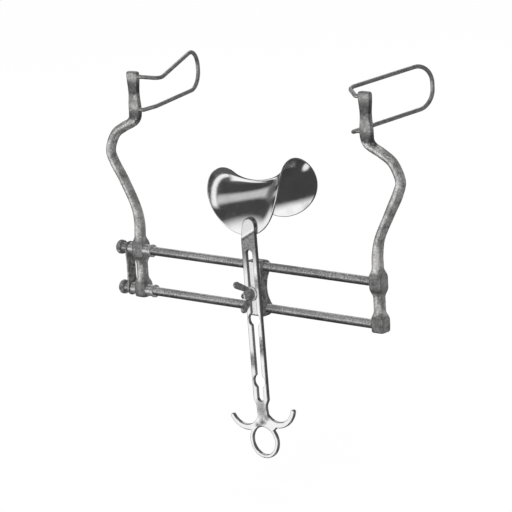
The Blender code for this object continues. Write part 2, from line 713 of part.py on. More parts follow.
def build_handle(parent):
    """Slotted bar with keyholes, neck, two finger hooks and a ring. Its tongue is bent onto the blade."""
    right = handle_outline()
    left = [(-u, v) for u, v in reversed(right)]
    ring_outer = RING_HOLE_RADIUS + RING_BAND
    right_hook = hook_points(1)
    left_hook = hook_points(-1)
    start, end = (math.atan2(v - RING_Z, u) for u, v in (right_hook[-1], left_hook[-1]))
    ring = arc((0, RING_Z), ring_outer, start, end - 2 * math.pi, 30)
    outline = right + right_hook + ring + list(reversed(left_hook)) + left[:-1]
    hole = arc((0, RING_Z), RING_HOLE_RADIUS, 0, 2 * math.pi, 32)[:-1]
    mesh = outline_mesh("blade_handle", [outline, slot_outline(), hole], HANDLE_THICKNESS)
    bm = bmesh.new()
    bm.from_mesh(mesh)
    height = NEAR_LIP_Z - 3 * MM
    while height < TONGUE_TOP:
        geometry = [*bm.verts, *bm.edges, *bm.faces]
        bmesh.ops.bisect_plane(bm, geom=geometry, plane_co=(0, height, 0), plane_no=(0, 1, 0))
        height += 2.0 * MM
    mesh = mesh_from(bm, "blade_handle")
    mesh.transform(Matrix.Rotation(math.pi / 2, 4, "X"))
    mesh.transform(Matrix.Translation((0, (HANDLE_BACK + HANDLE_FRONT) / 2, 0)))
    for vertex in mesh.vertices:
        if vertex.co.z > NEAR_LIP_Z - 3 * MM:
            lip, facing = lip_depth(vertex.co.x, max(vertex.co.z, NEAR_LIP_Z))
            vertex.co.y += max(lip - FIT / facing - HANDLE_BACK, 0.0)
    obj = add_part("blade_handle", mesh, STEEL_BRIGHT, parent)
    bevel(obj, 0.3 * MM, angle=math.radians(60))


def build_centre_blade(parent):
    """The saddle sheet, thickened away from its outer face."""
    rings, sectors = 8, 40
    bm = bmesh.new()
    crown = bm.verts.new(saddle(0.0, 0.0))
    loops = []
    for i in range(1, rings + 1):
        loops.append([bm.verts.new(saddle(i / rings, 2 * math.pi * j / sectors)) for j in range(sectors)])
    for j in range(sectors):
        k = (j + 1) % sectors
        bm.faces.new((crown, loops[0][j], loops[0][k]))
        for low, high in zip(loops, loops[1:]):
            bm.faces.new((low[j], high[j], high[k], low[k]))
    mesh = bpy.data.meshes.new("centre_blade")
    bmesh.ops.recalc_face_normals(bm, faces=bm.faces)
    if crown.normal.z < 0:
        bmesh.ops.reverse_faces(bm, faces=bm.faces)
    bm.to_mesh(mesh)
    bm.free()
    smooth(mesh)
    obj = add_part("centre_blade", mesh, STEEL_MIRROR, parent)
    thicken = obj.modifiers.new("sheet", "SOLIDIFY")
    thicken.thickness = SHEET
    thicken.offset = -1.0
    bevel(obj, 0.3 * SHEET, angle=math.radians(60))


clear_scene()
parts = new_collection("abdominal_retractor")
cutters = new_collection("cutters")

rod_seat_end = FIXED_ARM_X - BOSS_HALF_WIDTH + ROD_SEAT_DEPTH + FIT
build_arm("fixed_arm", FIXED_ARM_X, 1, BORE_RADIUS, FIXED_ARM_X - 2 * BOSS_HALF_WIDTH, rod_seat_end)
build_arm("sliding_arm", SLIDING_ARM_X, -1, SLEEVE_RADIUS + FIT,
          SLIDING_ARM_X - 2 * BOSS_HALF_WIDTH, SLIDING_ARM_X + 2 * BOSS_HALF_WIDTH)
build_wire_blade("fixed_side_blade", FIXED_ARM_X, 1)
build_wire_blade("sliding_side_blade", SLIDING_ARM_X, -1)
for height, level in zip(ROD_HEIGHTS, LEVELS):
    build_rod(f"{level}_rod", height)
    build_sleeve(f"{level}_sleeve", height)
    build_end_screw(f"{level}_end_screw", height)
build_link()

carriage_axis = add_empty("carriage_axis", (0, 0, 0))
build_carriage(carriage_axis)
build_stud(carriage_axis)
stud_axis = add_empty("stud_axis", (0, 0, -STUD_DROP))
build_washer(stud_axis)
nut_axis = add_empty("nut_axis", (0, 0, -STUD_DROP))
nut_axis.rotation_euler = (0, math.pi / 2 - WING_TURN, 0)
build_wing_nut(nut_axis)
blade_axis = add_empty("blade_axis", (0, 0, -STUD_DROP))
blade_axis.rotation_euler = (0, -HANDLE_TILT, 0)
build_handle(blade_axis)
build_centre_blade(blade_axis)
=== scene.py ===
"""Looks of the abdominal retractor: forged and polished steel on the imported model, in plain studio light."""
import json
import math

import bpy
from mathutils import Matrix, Vector

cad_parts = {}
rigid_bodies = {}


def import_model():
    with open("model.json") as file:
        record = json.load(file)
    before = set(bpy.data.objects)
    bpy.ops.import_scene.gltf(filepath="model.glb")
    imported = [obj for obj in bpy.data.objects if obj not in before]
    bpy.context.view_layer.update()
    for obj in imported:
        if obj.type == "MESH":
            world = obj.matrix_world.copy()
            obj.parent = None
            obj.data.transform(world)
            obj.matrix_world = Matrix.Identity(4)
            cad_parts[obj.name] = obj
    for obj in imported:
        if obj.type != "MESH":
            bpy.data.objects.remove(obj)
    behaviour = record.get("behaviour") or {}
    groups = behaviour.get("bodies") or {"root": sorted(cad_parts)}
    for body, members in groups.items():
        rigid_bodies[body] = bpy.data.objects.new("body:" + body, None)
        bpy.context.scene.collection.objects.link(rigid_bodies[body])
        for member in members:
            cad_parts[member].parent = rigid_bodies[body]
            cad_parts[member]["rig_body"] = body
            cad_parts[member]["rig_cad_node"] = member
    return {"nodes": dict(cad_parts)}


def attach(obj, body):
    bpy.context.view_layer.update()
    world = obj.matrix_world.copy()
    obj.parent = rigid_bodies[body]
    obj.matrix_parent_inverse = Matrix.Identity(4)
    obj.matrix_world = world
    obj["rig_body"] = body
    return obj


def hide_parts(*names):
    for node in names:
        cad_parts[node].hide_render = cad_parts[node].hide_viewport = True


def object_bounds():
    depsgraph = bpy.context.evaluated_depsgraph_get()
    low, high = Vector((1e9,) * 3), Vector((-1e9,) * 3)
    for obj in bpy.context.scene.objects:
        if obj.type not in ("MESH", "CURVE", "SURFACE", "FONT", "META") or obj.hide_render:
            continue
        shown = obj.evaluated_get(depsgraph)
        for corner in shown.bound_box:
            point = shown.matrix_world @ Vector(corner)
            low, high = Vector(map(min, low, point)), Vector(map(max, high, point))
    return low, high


for left_over in list(bpy.data.objects):
    bpy.data.objects.remove(left_over)
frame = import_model()
cad_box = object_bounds()
scene = bpy.context.scene

MM = 0.001
FIT = 0.3 * MM

# Sizes shared with the part's source
ROD_RADIUS = 3.0 * MM
BORE_RADIUS = ROD_RADIUS + FIT
ROD_PITCH = 28.4 * MM
ROD_LEVELS = {"upper": ROD_PITCH / 2, "lower": -ROD_PITCH / 2}
FIXED_ARM_X = 99.0 * MM
SPREAD = 205.2 * MM
SLIDING_ARM_X = FIXED_ARM_X - SPREAD
SLEEVE_OUT = 9.4 * MM
SLEEVE_IN = 11.2 * MM
LINK_INNER_X = SLIDING_ARM_X - SLEEVE_OUT - FIT
ROD_START_X = LINK_INNER_X + FIT
LINK_THICKNESS = 1.4 * MM
LINK_OUTER_X = LINK_INNER_X - LINK_THICKNESS
ROD_SEAT = 7.5 * MM
SHANK_RADIUS = 1.6 * MM
SHANK_LENGTH = 7.0 * MM
STUD_RADIUS = 2.2 * MM
STUD_DROP = 2.4 * MM
CARRIAGE_FRONT = 6.7 * MM
HANDLE_BACK = -CARRIAGE_FRONT - FIT
HANDLE_FRONT = HANDLE_BACK - 2.8 * MM
HANDLE_TILT = math.radians(1.4)
HEAD_ROLL = math.radians(9.2)
HANDLE_PLACE = Matrix.Translation((0, 0, -STUD_DROP)) @ Matrix.Rotation(-HANDLE_TILT, 4, "Y")

BEND_Z = 39.6 * MM
BEND_SLANT = math.radians(30)
BEND_LEAN = math.radians(13.5)
# Half the length over which the tongue bends, and how much more its back face leans than its front
BEND_REACH = 2.0 * MM
BACK_LEAN = 1.12

BAR_THICKNESS = HANDLE_BACK - HANDLE_FRONT
BAR_HALF = 6.2 * MM
EDGE_ROUND = 0.7 * MM
TONGUE_TOP = 50.6 * MM
SLOT_HALF = 2.6 * MM
SLOT_TOP = 29.2 * MM
SLOT_BOTTOM = -74.4 * MM
KEYHOLE_RADIUS = 4.8 * MM
KEYHOLE_HEIGHTS = (-18.2 * MM, -60.6 * MM)
SHOULDER_Z = -73.4 * MM
HOOK_RADIUS = 11.8 * MM
HOOK_OUT = 14.4 * MM
HOOK_LOW_Z = -89.6 * MM
HOOK_ROOT = 4.5 * MM
HOOK_TIP = 3.2 * MM
HOOK_SWEEP = 67.0
RING_RADIUS = 9.6 * MM
RING_BAND = 2.5 * MM
RING_Z = -101.88 * MM

# Camera and light, set from the photograph
CAMERA_TARGET = Vector((-2.952 * MM, 0.0, 20.605 * MM))
CAMERA_AZIMUTH = 40.570
CAMERA_ELEVATION = 13.444
CAMERA_ROLL = math.radians(-3.462)
CAMERA_DISTANCE = 1.89437
FOCAL_PIXELS = 2855.86
FRAME_PIXELS = 512
# Room for the ring, which comes 16 mm lower when the blade slides down
FLOOR_GAP = 18 * MM


# Materials

class Value:
    """A socket of a finish's nodes. Sums of values are written as sums."""

    def __init__(self, finish, socket):
        self.finish = finish
        self.socket = socket

    def math(self, operation, *others):
        inputs = dict(enumerate((self, *others)))
        return self.finish.node("ShaderNodeMath", {"operation": operation}, inputs)

    def __add__(self, other):
        return self.math("ADD", other)

    __radd__ = __add__

    def __sub__(self, other):
        return self.math("SUBTRACT", other)

    def __rsub__(self, other):
        return self.math("MULTIPLY_ADD", -1.0, other)

    def __mul__(self, other):
        return self.math("MULTIPLY", other)

    __rmul__ = __mul__

    def within(self, low, high):
        """0 below low, 1 above high and smooth between."""
        return self.finish.node("ShaderNodeMapRange", {"interpolation_type": "SMOOTHSTEP"},
                                {"Value": self, "From Min": low, "From Max": high})

    def limited(self):
        return self.finish.node("ShaderNodeClamp", {}, {"Value": self})


class Finish:
    """One material, built from nodes on Object coordinates."""

    def __init__(self, name):
        self.material = bpy.data.materials.new(name)
        self.material.use_nodes = True
        self.tree = self.material.node_tree
        self.shader = self.tree.nodes["Principled BSDF"]
        self.place = self.node("ShaderNodeTexCoord", {}, {}, "Object")

    def node(self, kind, settings, inputs, output=0):
        made = self.tree.nodes.new(kind)
        for key, value in settings.items():
            setattr(made, key, value)
        for key, value in inputs.items():
            self.feed(made.inputs[key], value)
        return Value(self, made.outputs[output])

    def feed(self, socket, value):
        if isinstance(value, Value):
            self.tree.links.new(value.socket, socket)
        else:
            socket.default_value = value

    def cloud(self, scale, detail=3.0, stretch=(1, 1, 1), roughness=0.55):
        """Soft noise around 0.5. scale is in patches per metre, and stretch squeezes it along an axis."""
        placed = self.node("ShaderNodeMapping", {}, {"Vector": self.place, "Scale": stretch})
        return self.node("ShaderNodeTexNoise", {},
                         {"Vector": placed, "Scale": scale, "Detail": detail, "Roughness": roughness})

    def blend(self, mask, first, second):
        """The first colour where the mask is 0 and the second where it is 1, plain ones or made by nodes."""
        colours = [c if isinstance(c, Value) else (*c, 1.0) for c in (first, second)]
        return self.node("ShaderNodeMix", {"data_type": "RGBA"},
                         {"Factor": mask, "A": colours[0], "B": colours[1]}, 2)

    def axis(self, which):
        """One coordinate of the place on the object, in metres."""
        return self.node("ShaderNodeSeparateXYZ", {}, {"Vector": self.place}, which)

    def facing(self, which):
        """One coordinate of the direction that the surface faces."""
        normal = self.node("ShaderNodeTexCoord", {}, {}, "Normal")
        return self.node("ShaderNodeSeparateXYZ", {}, {"Vector": normal}, which)

    def off_bar(self):
        """How far a place lies outside the outline of the bar and its round tongue, negative inside."""
        rise = self.axis(2) + STUD_DROP
        beside = self.axis(0) + rise * math.tan(HANDLE_TILT)
        above = (rise - (TONGUE_TOP - BAR_HALF)).math("MAXIMUM", 0.0)
        return (above * above + beside * beside).math("SQRT") - BAR_HALF

    def patch(self, centre, reach, ragged=0.7):
        """1 round a place on the object and 0 beyond its reach along each axis, with a cloudy edge."""
        away = self.node("ShaderNodeVectorMath", {"operation": "SUBTRACT"},
                         {0: self.place, 1: [c * MM for c in centre]})
        shrunk = self.node("ShaderNodeVectorMath", {"operation": "DIVIDE"},
                           {0: away, 1: [r * MM for r in reach]})
        far = self.node("ShaderNodeVectorMath", {"operation": "LENGTH"}, {0: shrunk}, "Value")
        return 1 - (far + (self.cloud(420.0, 4.0) - 0.5) * ragged).within(0.25, 1.0)

    def finish(self, colour, roughness, height=None, depth=0.00002, metal=1.0):
        self.feed(self.shader.inputs["Base Color"], colour)
        self.feed(self.shader.inputs["Roughness"], roughness)
        self.feed(self.shader.inputs["Metallic"], metal)
        if height is not None:
            bump = self.node("ShaderNodeBump", {}, {"Height": height, "Distance": depth, "Strength": 1.0})
            self.feed(self.shader.inputs["Normal"], bump)
        return self.material


def grey(level, warm=0.0):
    return (level * (1 + warm), level, level * (1 - warm))


PLATE_BANDS = ((127.5, 8.0, 0.85), (108.6, 5.5, 0.85))


def forged_steel():
    """Blasted forging: cloudy satin grey with a fine pitted grain, and painted shade on the bosses round the
    rods.
    """
    steel = Finish("forged_steel")
    patches = steel.cloud(140.0, 4.0)
    grain = steel.cloud(900.0, 4.0, roughness=0.7)
    pits = steel.cloud(1500.0, 2.0).within(0.60, 0.72)
    tone = (patches * 0.7 + grain * 0.7 - 0.2).limited()
    colour = steel.blend(tone.within(0.36, 0.66), grey(0.38, 0.01), grey(0.98, 0.01))
    colour = steel.blend(pits * 0.5, colour, grey(0.26, 0.02))
    rise = steel.axis(2)
    mottle = steel.cloud(480.0, 4.0, roughness=0.65)
    # Painted shade: the bosses round the rods are darkened, more on faces that turn away from the front.
    from_rods = (rise.math("ABSOLUTE") - ROD_PITCH / 2).math("ABSOLUTE")
    flats = 1 - steel.facing("Y").within(-0.97, -0.80)
    boss = 1 - (from_rods + (mottle - 0.5) * 0.004).within(5.6 * MM, 7.4 * MM)
    colour = steel.blend(boss * (flats * 0.35 + 0.45) * (mottle * 0.9 + 0.5), colour, grey(0.10))
    plate = (rise + (mottle - 0.5) * 0.010).within(104 * MM, 109 * MM)
    colour = steel.blend(plate * (mottle * 0.4 + 0.2), colour, grey(0.14))
    for middle, reach, strength in PLATE_BANDS:
        away = (rise - middle * MM + (mottle - 0.5) * 0.012).math("ABSOLUTE")
        band = (1 - away.within(0.3 * reach * MM, reach * MM)) * strength
        colour = steel.blend(band * (mottle * 0.9 + 0.5), colour, grey(0.05))
    rough = 0.24 + patches * 0.08 + grain * 0.10
    return steel.finish(colour, rough, grain * 0.7 + patches * 0.3 - pits * 0.5, 0.00024, metal=0.82)


def bent_wire():
    """Drawn wire: lengthwise tone and small handling marks."""
    steel = Finish("bent_wire")
    patches = steel.cloud(220.0, 4.0)
    grain = steel.cloud(1300.0, 3.0)
    colour = steel.blend((patches * 0.7 + grain * 0.6 - 0.15).within(0.3, 0.72), grey(0.32), grey(0.66))
    return steel.finish(colour, 0.26 + grain * 0.16, grain, 0.00010, metal=0.85)


def ground_rod():
    """Ground rod: fine rings round it, long soft rub marks from the slider, and painted light on its upper
    half over painted shade below.
    """
    steel = Finish("ground_rod")
    rings = steel.cloud(420.0, 3.0, stretch=(3.0, 1.0, 1.0), roughness=0.7)
    rubs = steel.cloud(260.0, 4.0, stretch=(0.12, 1.0, 1.0))
    specks = steel.cloud(1100.0, 3.0, roughness=0.7)
    tone = (rubs * 0.3 + rings * 0.4 + specks * 0.6 - 0.15).within(0.38, 0.64)
    # Painted light and shade: the upper half of each rod is coloured bright and the lower half dark.
    rise = (steel.axis(2) + ROD_PITCH).math("MODULO", ROD_PITCH) - ROD_PITCH / 2
    lit_upper_half = rise.within(-0.5 * MM, 0.9 * MM)
    dull = steel.blend(tone, grey(0.07), grey(0.38))
    bright = steel.blend(tone, grey(0.36), grey(1.0))
    colour = steel.blend(lit_upper_half, dull, bright)
    return steel.finish(colour, 0.34 + rings * 0.12 + rubs * 0.08, rings + specks * 0.6, 0.00016, metal=0.88)


def turned_steel(name, low, high):
    """Sleeves, screws, stud, washer and nut: fine rings and cloudy patches between two greys."""
    steel = Finish(name)
    rings = steel.cloud(900.0, 3.0, stretch=(9.0, 1.0, 1.0))
    patches = steel.cloud(520.0, 4.0, roughness=0.65)
    colour = steel.blend((patches * 0.9 + rings * 0.2 - 0.05).within(0.32, 0.70), grey(low), grey(high))
    return steel.finish(colour, 0.26 + patches * 0.14, rings + patches * 0.5, 0.00006, metal=0.82)


def machined_block():
    """Milled slider: cloudy dark steel with faint straight cuts, rubbed bright where the bar slides."""
    steel = Finish("machined_block")
    cuts = steel.cloud(500.0, 3.0, stretch=(1.0, 1.0, 10.0))
    patches = steel.cloud(480.0, 4.0, roughness=0.7)
    rubbed = 1 - steel.axis(1).within(-CARRIAGE_FRONT + 0.05 * MM, -CARRIAGE_FRONT + 0.3 * MM)
    colour = steel.blend((patches * 0.9 + cuts * 0.2 - 0.05).within(0.38, 0.66), grey(0.16), grey(0.62))
    colour = steel.blend(rubbed, colour, grey(0.90))
    rough = (0.28 + patches * 0.16) * (1 - rubbed) + rubbed * 0.16
    return steel.finish(colour, rough, cuts + patches * 0.5, 0.00008, metal=0.85)


DULL_PATCHES = (((4.4, -9.6, 5), (3.0, 6.0, 7.5), 0.75),
                ((5.4, -9.6, -39), (3.6, 6.0, 10.0), 0.95),
                ((-3.2, -9.6, -49), (3.6, 6.0, 8.0), 0.90),
                ((2.0, -9.6, -82), (6.5, 6.0, 10.0), 0.75),
                ((-1.5, -9.6, -94), (4.2, 6.0, 3.0), 0.85),
                ((2.4, -9.6, -91), (4.2, 6.0, 3.2), 0.90),
                ((6.0, -9.6, -87.5), (4.2, 6.0, 3.2), 0.80))


def polished_bar():
    """Polished flat bar: bright, with lengthwise lines, rub marks beside the slot, a few dull patches, painted
    shade on its sides, edges and bend, and painted light on the tongue.
    """
    steel = Finish("polished_bar")
    lines = steel.cloud(900.0, 3.0, stretch=(5.0, 1.0, 0.10))
    haze = steel.cloud(90.0, 4.0)
    scuffs = steel.cloud(1400.0, 2.0, stretch=(1.0, 1.0, 0.25)).within(0.64, 0.72)
    across = steel.axis(0)
    # Painted shade: a dark line just inside the bar's outline, on its eased edges above the shoulder.
    rim = steel.off_bar().within(-0.9 * MM, -0.4 * MM) * steel.axis(2).within(SHOULDER_Z - 4 * MM, SHOULDER_Z)
    beside_slot = 1 - across.math("ABSOLUTE").within(3.0 * MM, 6.0 * MM)
    colour = steel.blend((haze * 0.7 + lines * 0.4 - 0.05).within(0.25, 0.8), grey(0.86), grey(0.96))
    mottle = steel.cloud(1000.0, 4.0, roughness=0.7).within(0.35, 0.65)
    for centre, reach, strength in DULL_PATCHES:
        mask = steel.patch(centre, reach) * (mottle * 0.4 + 0.7) * strength
        colour = steel.blend(mask, colour, grey(0.10))
    colour = steel.blend(scuffs * beside_slot * 0.35, colour, grey(0.40))
    # Painted shade below the bend line and darker still along its crease, and painted light: the tongue above
    # the bend is coloured white.
    past_bend = (steel.axis(2) - across * math.tan(BEND_SLANT) + (STUD_DROP - BEND_Z)) * math.cos(BEND_SLANT)
    below = past_bend.within(-23 * MM, -8 * MM) * (1 - past_bend.within(-0.2 * MM, 0.7 * MM))
    colour = steel.blend(below * (mottle * 0.25 + 0.72), colour, grey(0.13))
    crease_shade = 1 - past_bend.math("ABSOLUTE").within(0.3 * MM, 1.3 * MM)
    colour = steel.blend(crease_shade * (mottle * 0.3 + 0.6), colour, grey(0.06))
    colour = steel.blend(past_bend.within(0.8 * MM, 2.0 * MM), colour, grey(1.0))
    # Painted shade: faces that turn away from the front, on the sides and eased edges, are darkened.
    sides = steel.facing("Y").within(-0.85, -0.35)
    colour = steel.blend(sides * (mottle * 0.5 + 0.4), colour, grey(0.20))
    # Painted shade along the bar's eased edges.
    colour = steel.blend(rim * (mottle * 0.3 + 0.6), colour, grey(0.12))
    brazed = past_bend.within(-1 * MM, 2 * MM) * 0.10
    return steel.finish(colour, 0.09 + lines * 0.08 + scuffs * 0.12 + brazed, lines, 0.000015, metal=0.88)


def mirror_sheet():
    """Mirror-polished sheet: bright chrome with faint haze and hairlines, and painted shade on two rougher
    patches.
    """
    steel = Finish("mirror_sheet")
    haze = steel.cloud(110.0, 4.0)
    hairs = steel.cloud(1500.0, 2.0, stretch=(0.15, 1.0, 3.0)).within(0.60, 0.70)
    colour = steel.blend(haze.within(0.3, 0.75), grey(0.86), grey(0.97))
    seam = (1 - steel.off_bar().within(0.1 * MM, 0.5 * MM)) * (1 - steel.axis(1).within(-2 * MM, 4 * MM))
    colour = steel.blend(seam * 0.9, colour, grey(0.10))
    # Painted shade on a rougher satin finish: a patch on the far ear's side and one right of the crown are
    # darkened and roughened.
    far_side = steel.patch((22, 9, 83), (14, 15, 9), 0.0) * steel.facing("X").within(-0.1, 0.1)
    near_side = steel.patch((15.5, 0, 66), (9, 10, 15), 0.0) * (1 - steel.facing("Y").within(-0.15, 0.1))
    satin = far_side.math("MAXIMUM", near_side)
    colour = steel.blend(satin * 0.75, colour, grey(0.24))
    rough = 0.07 + haze * 0.05 + hairs * 0.04 + seam * 0.2 + satin * 0.24
    return steel.finish(colour, rough, hairs, 0.000004)


# Modelling helpers

def only(obj):
    """Deselects everything and makes one object the one that operators act on."""
    bpy.ops.object.select_all(action="DESELECT")
    obj.select_set(True)
    bpy.context.view_layer.objects.active = obj


def named(name):
    obj = bpy.context.object
    obj.name = name
    obj.data.name = name
    return obj


def settle(obj):
    """Puts the object's place into its mesh and points its faces outwards."""
    only(obj)
    bpy.ops.object.transform_apply(location=True, rotation=True, scale=True)
    bpy.ops.object.mode_set(mode="EDIT")
    bpy.ops.mesh.select_all(action="SELECT")
    bpy.ops.mesh.remove_doubles(threshold=0.000002)
    bpy.ops.mesh.normals_make_consistent(inside=False)
    bpy.ops.object.mode_set(mode="OBJECT")


def soften(obj, degrees=35):
    only(obj)
    bpy.ops.object.shade_smooth_by_angle(angle=math.radians(degrees))


def apply_modifier(obj, kind, **settings):
    modifier = obj.modifiers.new(kind.lower(), kind)
    for key, value in settings.items():
        setattr(modifier, key, value)
    only(obj)
    bpy.ops.object.modifier_apply(modifier=modifier.name)


def show(obj, node, body, material):
    """Gives a piece its material and body and hides its solid. Reflections show the blade alone."""
    obj.data.materials.clear()
    obj.data.materials.append(material)
    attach(obj, body)
    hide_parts(node)
    obj.visible_glossy = node == "centre_blade"


def copy_of(node, name):
    """A merged copy of a solid, to be finished further."""
    obj = frame["nodes"][node].copy()
    obj.data = obj.data.copy()
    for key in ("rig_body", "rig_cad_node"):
        if key in obj:
            del obj[key]
    obj.parent = None
    scene.collection.objects.link(obj)
    obj.name = name
    obj.data.name = name
    only(obj)
    bpy.ops.mesh.customdata_custom_splitnormals_clear()
    bpy.ops.object.mode_set(mode="EDIT")
    bpy.ops.mesh.select_all(action="SELECT")
    bpy.ops.mesh.remove_doubles(threshold=0.000004)
    bpy.ops.mesh.dissolve_limited(angle_limit=math.radians(0.5))
    bpy.ops.object.mode_set(mode="OBJECT")
    return obj


def turned(name, profile, place, steps=64):
    """Spins a line of (radius, height) points about Z, closed on itself, and moves it to its place."""
    (radius, height), *rest = profile
    bpy.ops.object.select_all(action="DESELECT")
    bpy.ops.mesh.primitive_plane_add(size=MM)
    obj = named(name)
    bpy.ops.object.mode_set(mode="EDIT")
    bpy.ops.mesh.select_all(action="SELECT")
    bpy.ops.mesh.merge(type="CENTER")
    bpy.ops.transform.translate(value=(radius, 0, height))
    for r, z in rest:
        bpy.ops.mesh.extrude_region_move(TRANSFORM_OT_translate={"value": (r - radius, 0, z - height)})
        radius, height = r, z
    if profile[0][0] > 0:
        first = profile[0]
        bpy.ops.mesh.extrude_region_move(
            TRANSFORM_OT_translate={"value": (first[0] - radius, 0, first[1] - height)})
    bpy.ops.mesh.select_all(action="SELECT")
    bpy.ops.mesh.spin(steps=steps, angle=2 * math.pi, center=(0, 0, 0), axis=(0, 0, 1))
    bpy.ops.object.mode_set(mode="OBJECT")
    obj.data.transform(place)
    settle(obj)
    return obj


def along_x(x, z, outward=1):
    """Turns +Z of a turned piece to +X or -X and moves it to its height."""
    return Matrix.Translation((x, 0, z)) @ Matrix.Rotation(outward * math.pi / 2, 4, "Y")


def to_front(y, z):
    """Turns +Z of a turned piece to the front."""
    return Matrix.Translation((0, y, z)) @ Matrix.Rotation(math.pi / 2, 4, "X")


def ease(low, high, value):
    t = min(max((value - low) / (high - low), 0.0), 1.0)
    return t * t * (3 - 2 * t)


def mix(a, b, t):
    return a + (b - a) * t


def smooth_line(points, steps):
    """A smooth line through the points, with a few steps between each pair."""
    ends = [points[0] * 2 - points[1], *points, points[-1] * 2 - points[-2]]
    line = []
    for a, b, c, d in zip(ends, ends[1:], ends[2:], ends[3:]):
        for i in range(steps):
            t = i / steps
            line.append(0.5 * (2 * b + (c - a) * t + (2 * a - 5 * b + 4 * c - d) * t * t
                               + (3 * b - a - 3 * c + d) * t ** 3))
    line.append(points[-1].copy())
    return line


def drilled(obj, radius, start, end):
    """Cuts a round hole between two points."""
    middle = (Vector(start) + Vector(end)) / 2
    axis = Vector(end) - Vector(start)
    bpy.ops.object.select_all(action="DESELECT")
    bpy.ops.mesh.primitive_cylinder_add(vertices=48, radius=radius, depth=axis.length, location=middle,
                                        rotation=axis.to_track_quat("Z", "Y").to_euler())
    drill = named("drill")
    apply_modifier(obj, "BOOLEAN", operation="DIFFERENCE", solver="EXACT", object=drill)
    bpy.data.objects.remove(drill)


# Forged arms

BOSS_REACH = 9.5 * MM
BOW_OUT = 21.6 * MM
BOW_HEIGHT = 82.5 * MM
ELBOW_IN = 3.5 * MM
ELBOW_HEIGHT = 104.7 * MM
LOWER_HOLE_Z = ELBOW_HEIGHT + 7.7 * MM
UPPER_HOLE_Z = LOWER_HOLE_Z + 22.6 * MM
ARM_TOP = UPPER_HOLE_Z + 3.4 * MM
ARM_FOOT = -ROD_PITCH / 2 - 4.6 * MM
BAR_RADIUS = 3.5 * MM
WAIST_RADIUS = 4.0 * MM
BOSS_HALF = 5.0 * MM
PLATE_HALF_WIDTH = 4.8 * MM
PLATE_WAIST = 3.9 * MM
PLATE_HALF_DEPTH = 2.0 * MM
FOOT_CHAMFER = 1.1 * MM
PLATE_CORNER = 1.6 * MM
WIRE_RADIUS = 1.4 * MM
WIRE_SEAT = 5.5 * MM
ARM_SIDES = 40


def arm_line():
    """The arm's centre line as (outward, height)."""
    lower, upper = -ROD_PITCH / 2, ROD_PITCH / 2
    stations = [BOSS_REACH * t for t in (0.0, 0.2, 0.35, 0.42, 0.5, 0.58, 0.65, 0.73, 0.8, 0.9, 1.0)]
    heights = [ARM_FOOT, *(lower + t for t in stations), *(upper - t for t in reversed(stations)),
               *(upper + t for t in stations[1:-1])]
    knots = [(0, upper + BOSS_REACH),
             (0.02 * BOW_OUT, mix(upper, BOW_HEIGHT, 0.28)),
             (0.16 * BOW_OUT, mix(upper, BOW_HEIGHT, 0.47)),
             (0.50 * BOW_OUT, mix(upper, BOW_HEIGHT, 0.70)),
             (0.86 * BOW_OUT, mix(upper, BOW_HEIGHT, 0.875)),
             (BOW_OUT, BOW_HEIGHT),
             (0.76 * BOW_OUT, mix(BOW_HEIGHT, ELBOW_HEIGHT, 0.50)),
             (0.37 * BOW_OUT, mix(BOW_HEIGHT, ELBOW_HEIGHT, 0.755)),
             (0.05 * BOW_OUT, mix(BOW_HEIGHT, ELBOW_HEIGHT, 0.905)),
             (-0.65 * ELBOW_IN, ELBOW_HEIGHT + 0.25 * BAR_RADIUS),
             (-ELBOW_IN, mix(ELBOW_HEIGHT, LOWER_HOLE_Z, 0.65)),
             (-ELBOW_IN, mix(LOWER_HOLE_Z, UPPER_HOLE_Z, 0.2)),
             (-ELBOW_IN, mix(LOWER_HOLE_Z, UPPER_HOLE_Z, 0.6)),
             (-ELBOW_IN, ARM_TOP)]
    return [Vector((0, z)) for z in heights] + smooth_line([Vector(k) for k in knots], 7)


def arm_section(height):
    """Half width, half depth and squareness of the forging at a height."""
    boss = max(1 - ease(0.35 * BOSS_REACH, BOSS_REACH, abs(height - z)) for z in ROD_LEVELS.values())
    plate = ease(ELBOW_HEIGHT - BAR_RADIUS, LOWER_HOLE_Z - WIRE_RADIUS, height)
    radius = mix(WAIST_RADIUS, BAR_RADIUS, ease(ROD_PITCH / 2 + BOSS_REACH, 46 * MM, height))
    middle = (LOWER_HOLE_Z + UPPER_HOLE_Z) / 2
    waist = 1 - ease(0.0, (UPPER_HOLE_Z - LOWER_HOLE_Z) / 2, abs(height - middle))
    width = mix(mix(radius, BOSS_HALF, boss), mix(PLATE_HALF_WIDTH, PLATE_WAIST, waist), plate)
    depth = mix(mix(radius, BOSS_HALF, boss), PLATE_HALF_DEPTH, plate)
    power = 2 + 3.5 * boss + 4 * plate
    within = math.cos(math.pi / 16) ** (2 / power)
    return width * within, depth * within, power


def arm_rings():
    """Centre, in-plane normal and section of each ring, with an eased foot and a rounded top."""
    line = arm_line()
    rings = []
    for i, point in enumerate(line):
        ahead = line[min(i + 1, len(line) - 1)] - line[max(i - 1, 0)]
        rings.append((point, Vector((ahead.y, -ahead.x)).normalized(), *arm_section(point.y)))
    foot, across, width, depth, power = rings.pop(0)
    foot_rings = []
    for turn in (90, 60, 30, 0):
        inset = FOOT_CHAMFER * (1 - math.cos(math.radians(turn)))
        rise = FOOT_CHAMFER * (1 - math.sin(math.radians(turn)))
        foot_rings.append((foot + Vector((0, rise)), across, width - inset, depth - inset, power))
    top, across, width, depth, power = rings.pop()
    for turn in (0, 20, 40, 60, 75, 90):
        rise = PLATE_CORNER * (math.sin(math.radians(turn)) - 1)
        inset = PLATE_CORNER * (1 - math.cos(math.radians(turn)))
        rings.append((top + Vector((0, rise)), across, width - inset, depth - 0.5 * inset, power))
    return foot_rings + rings


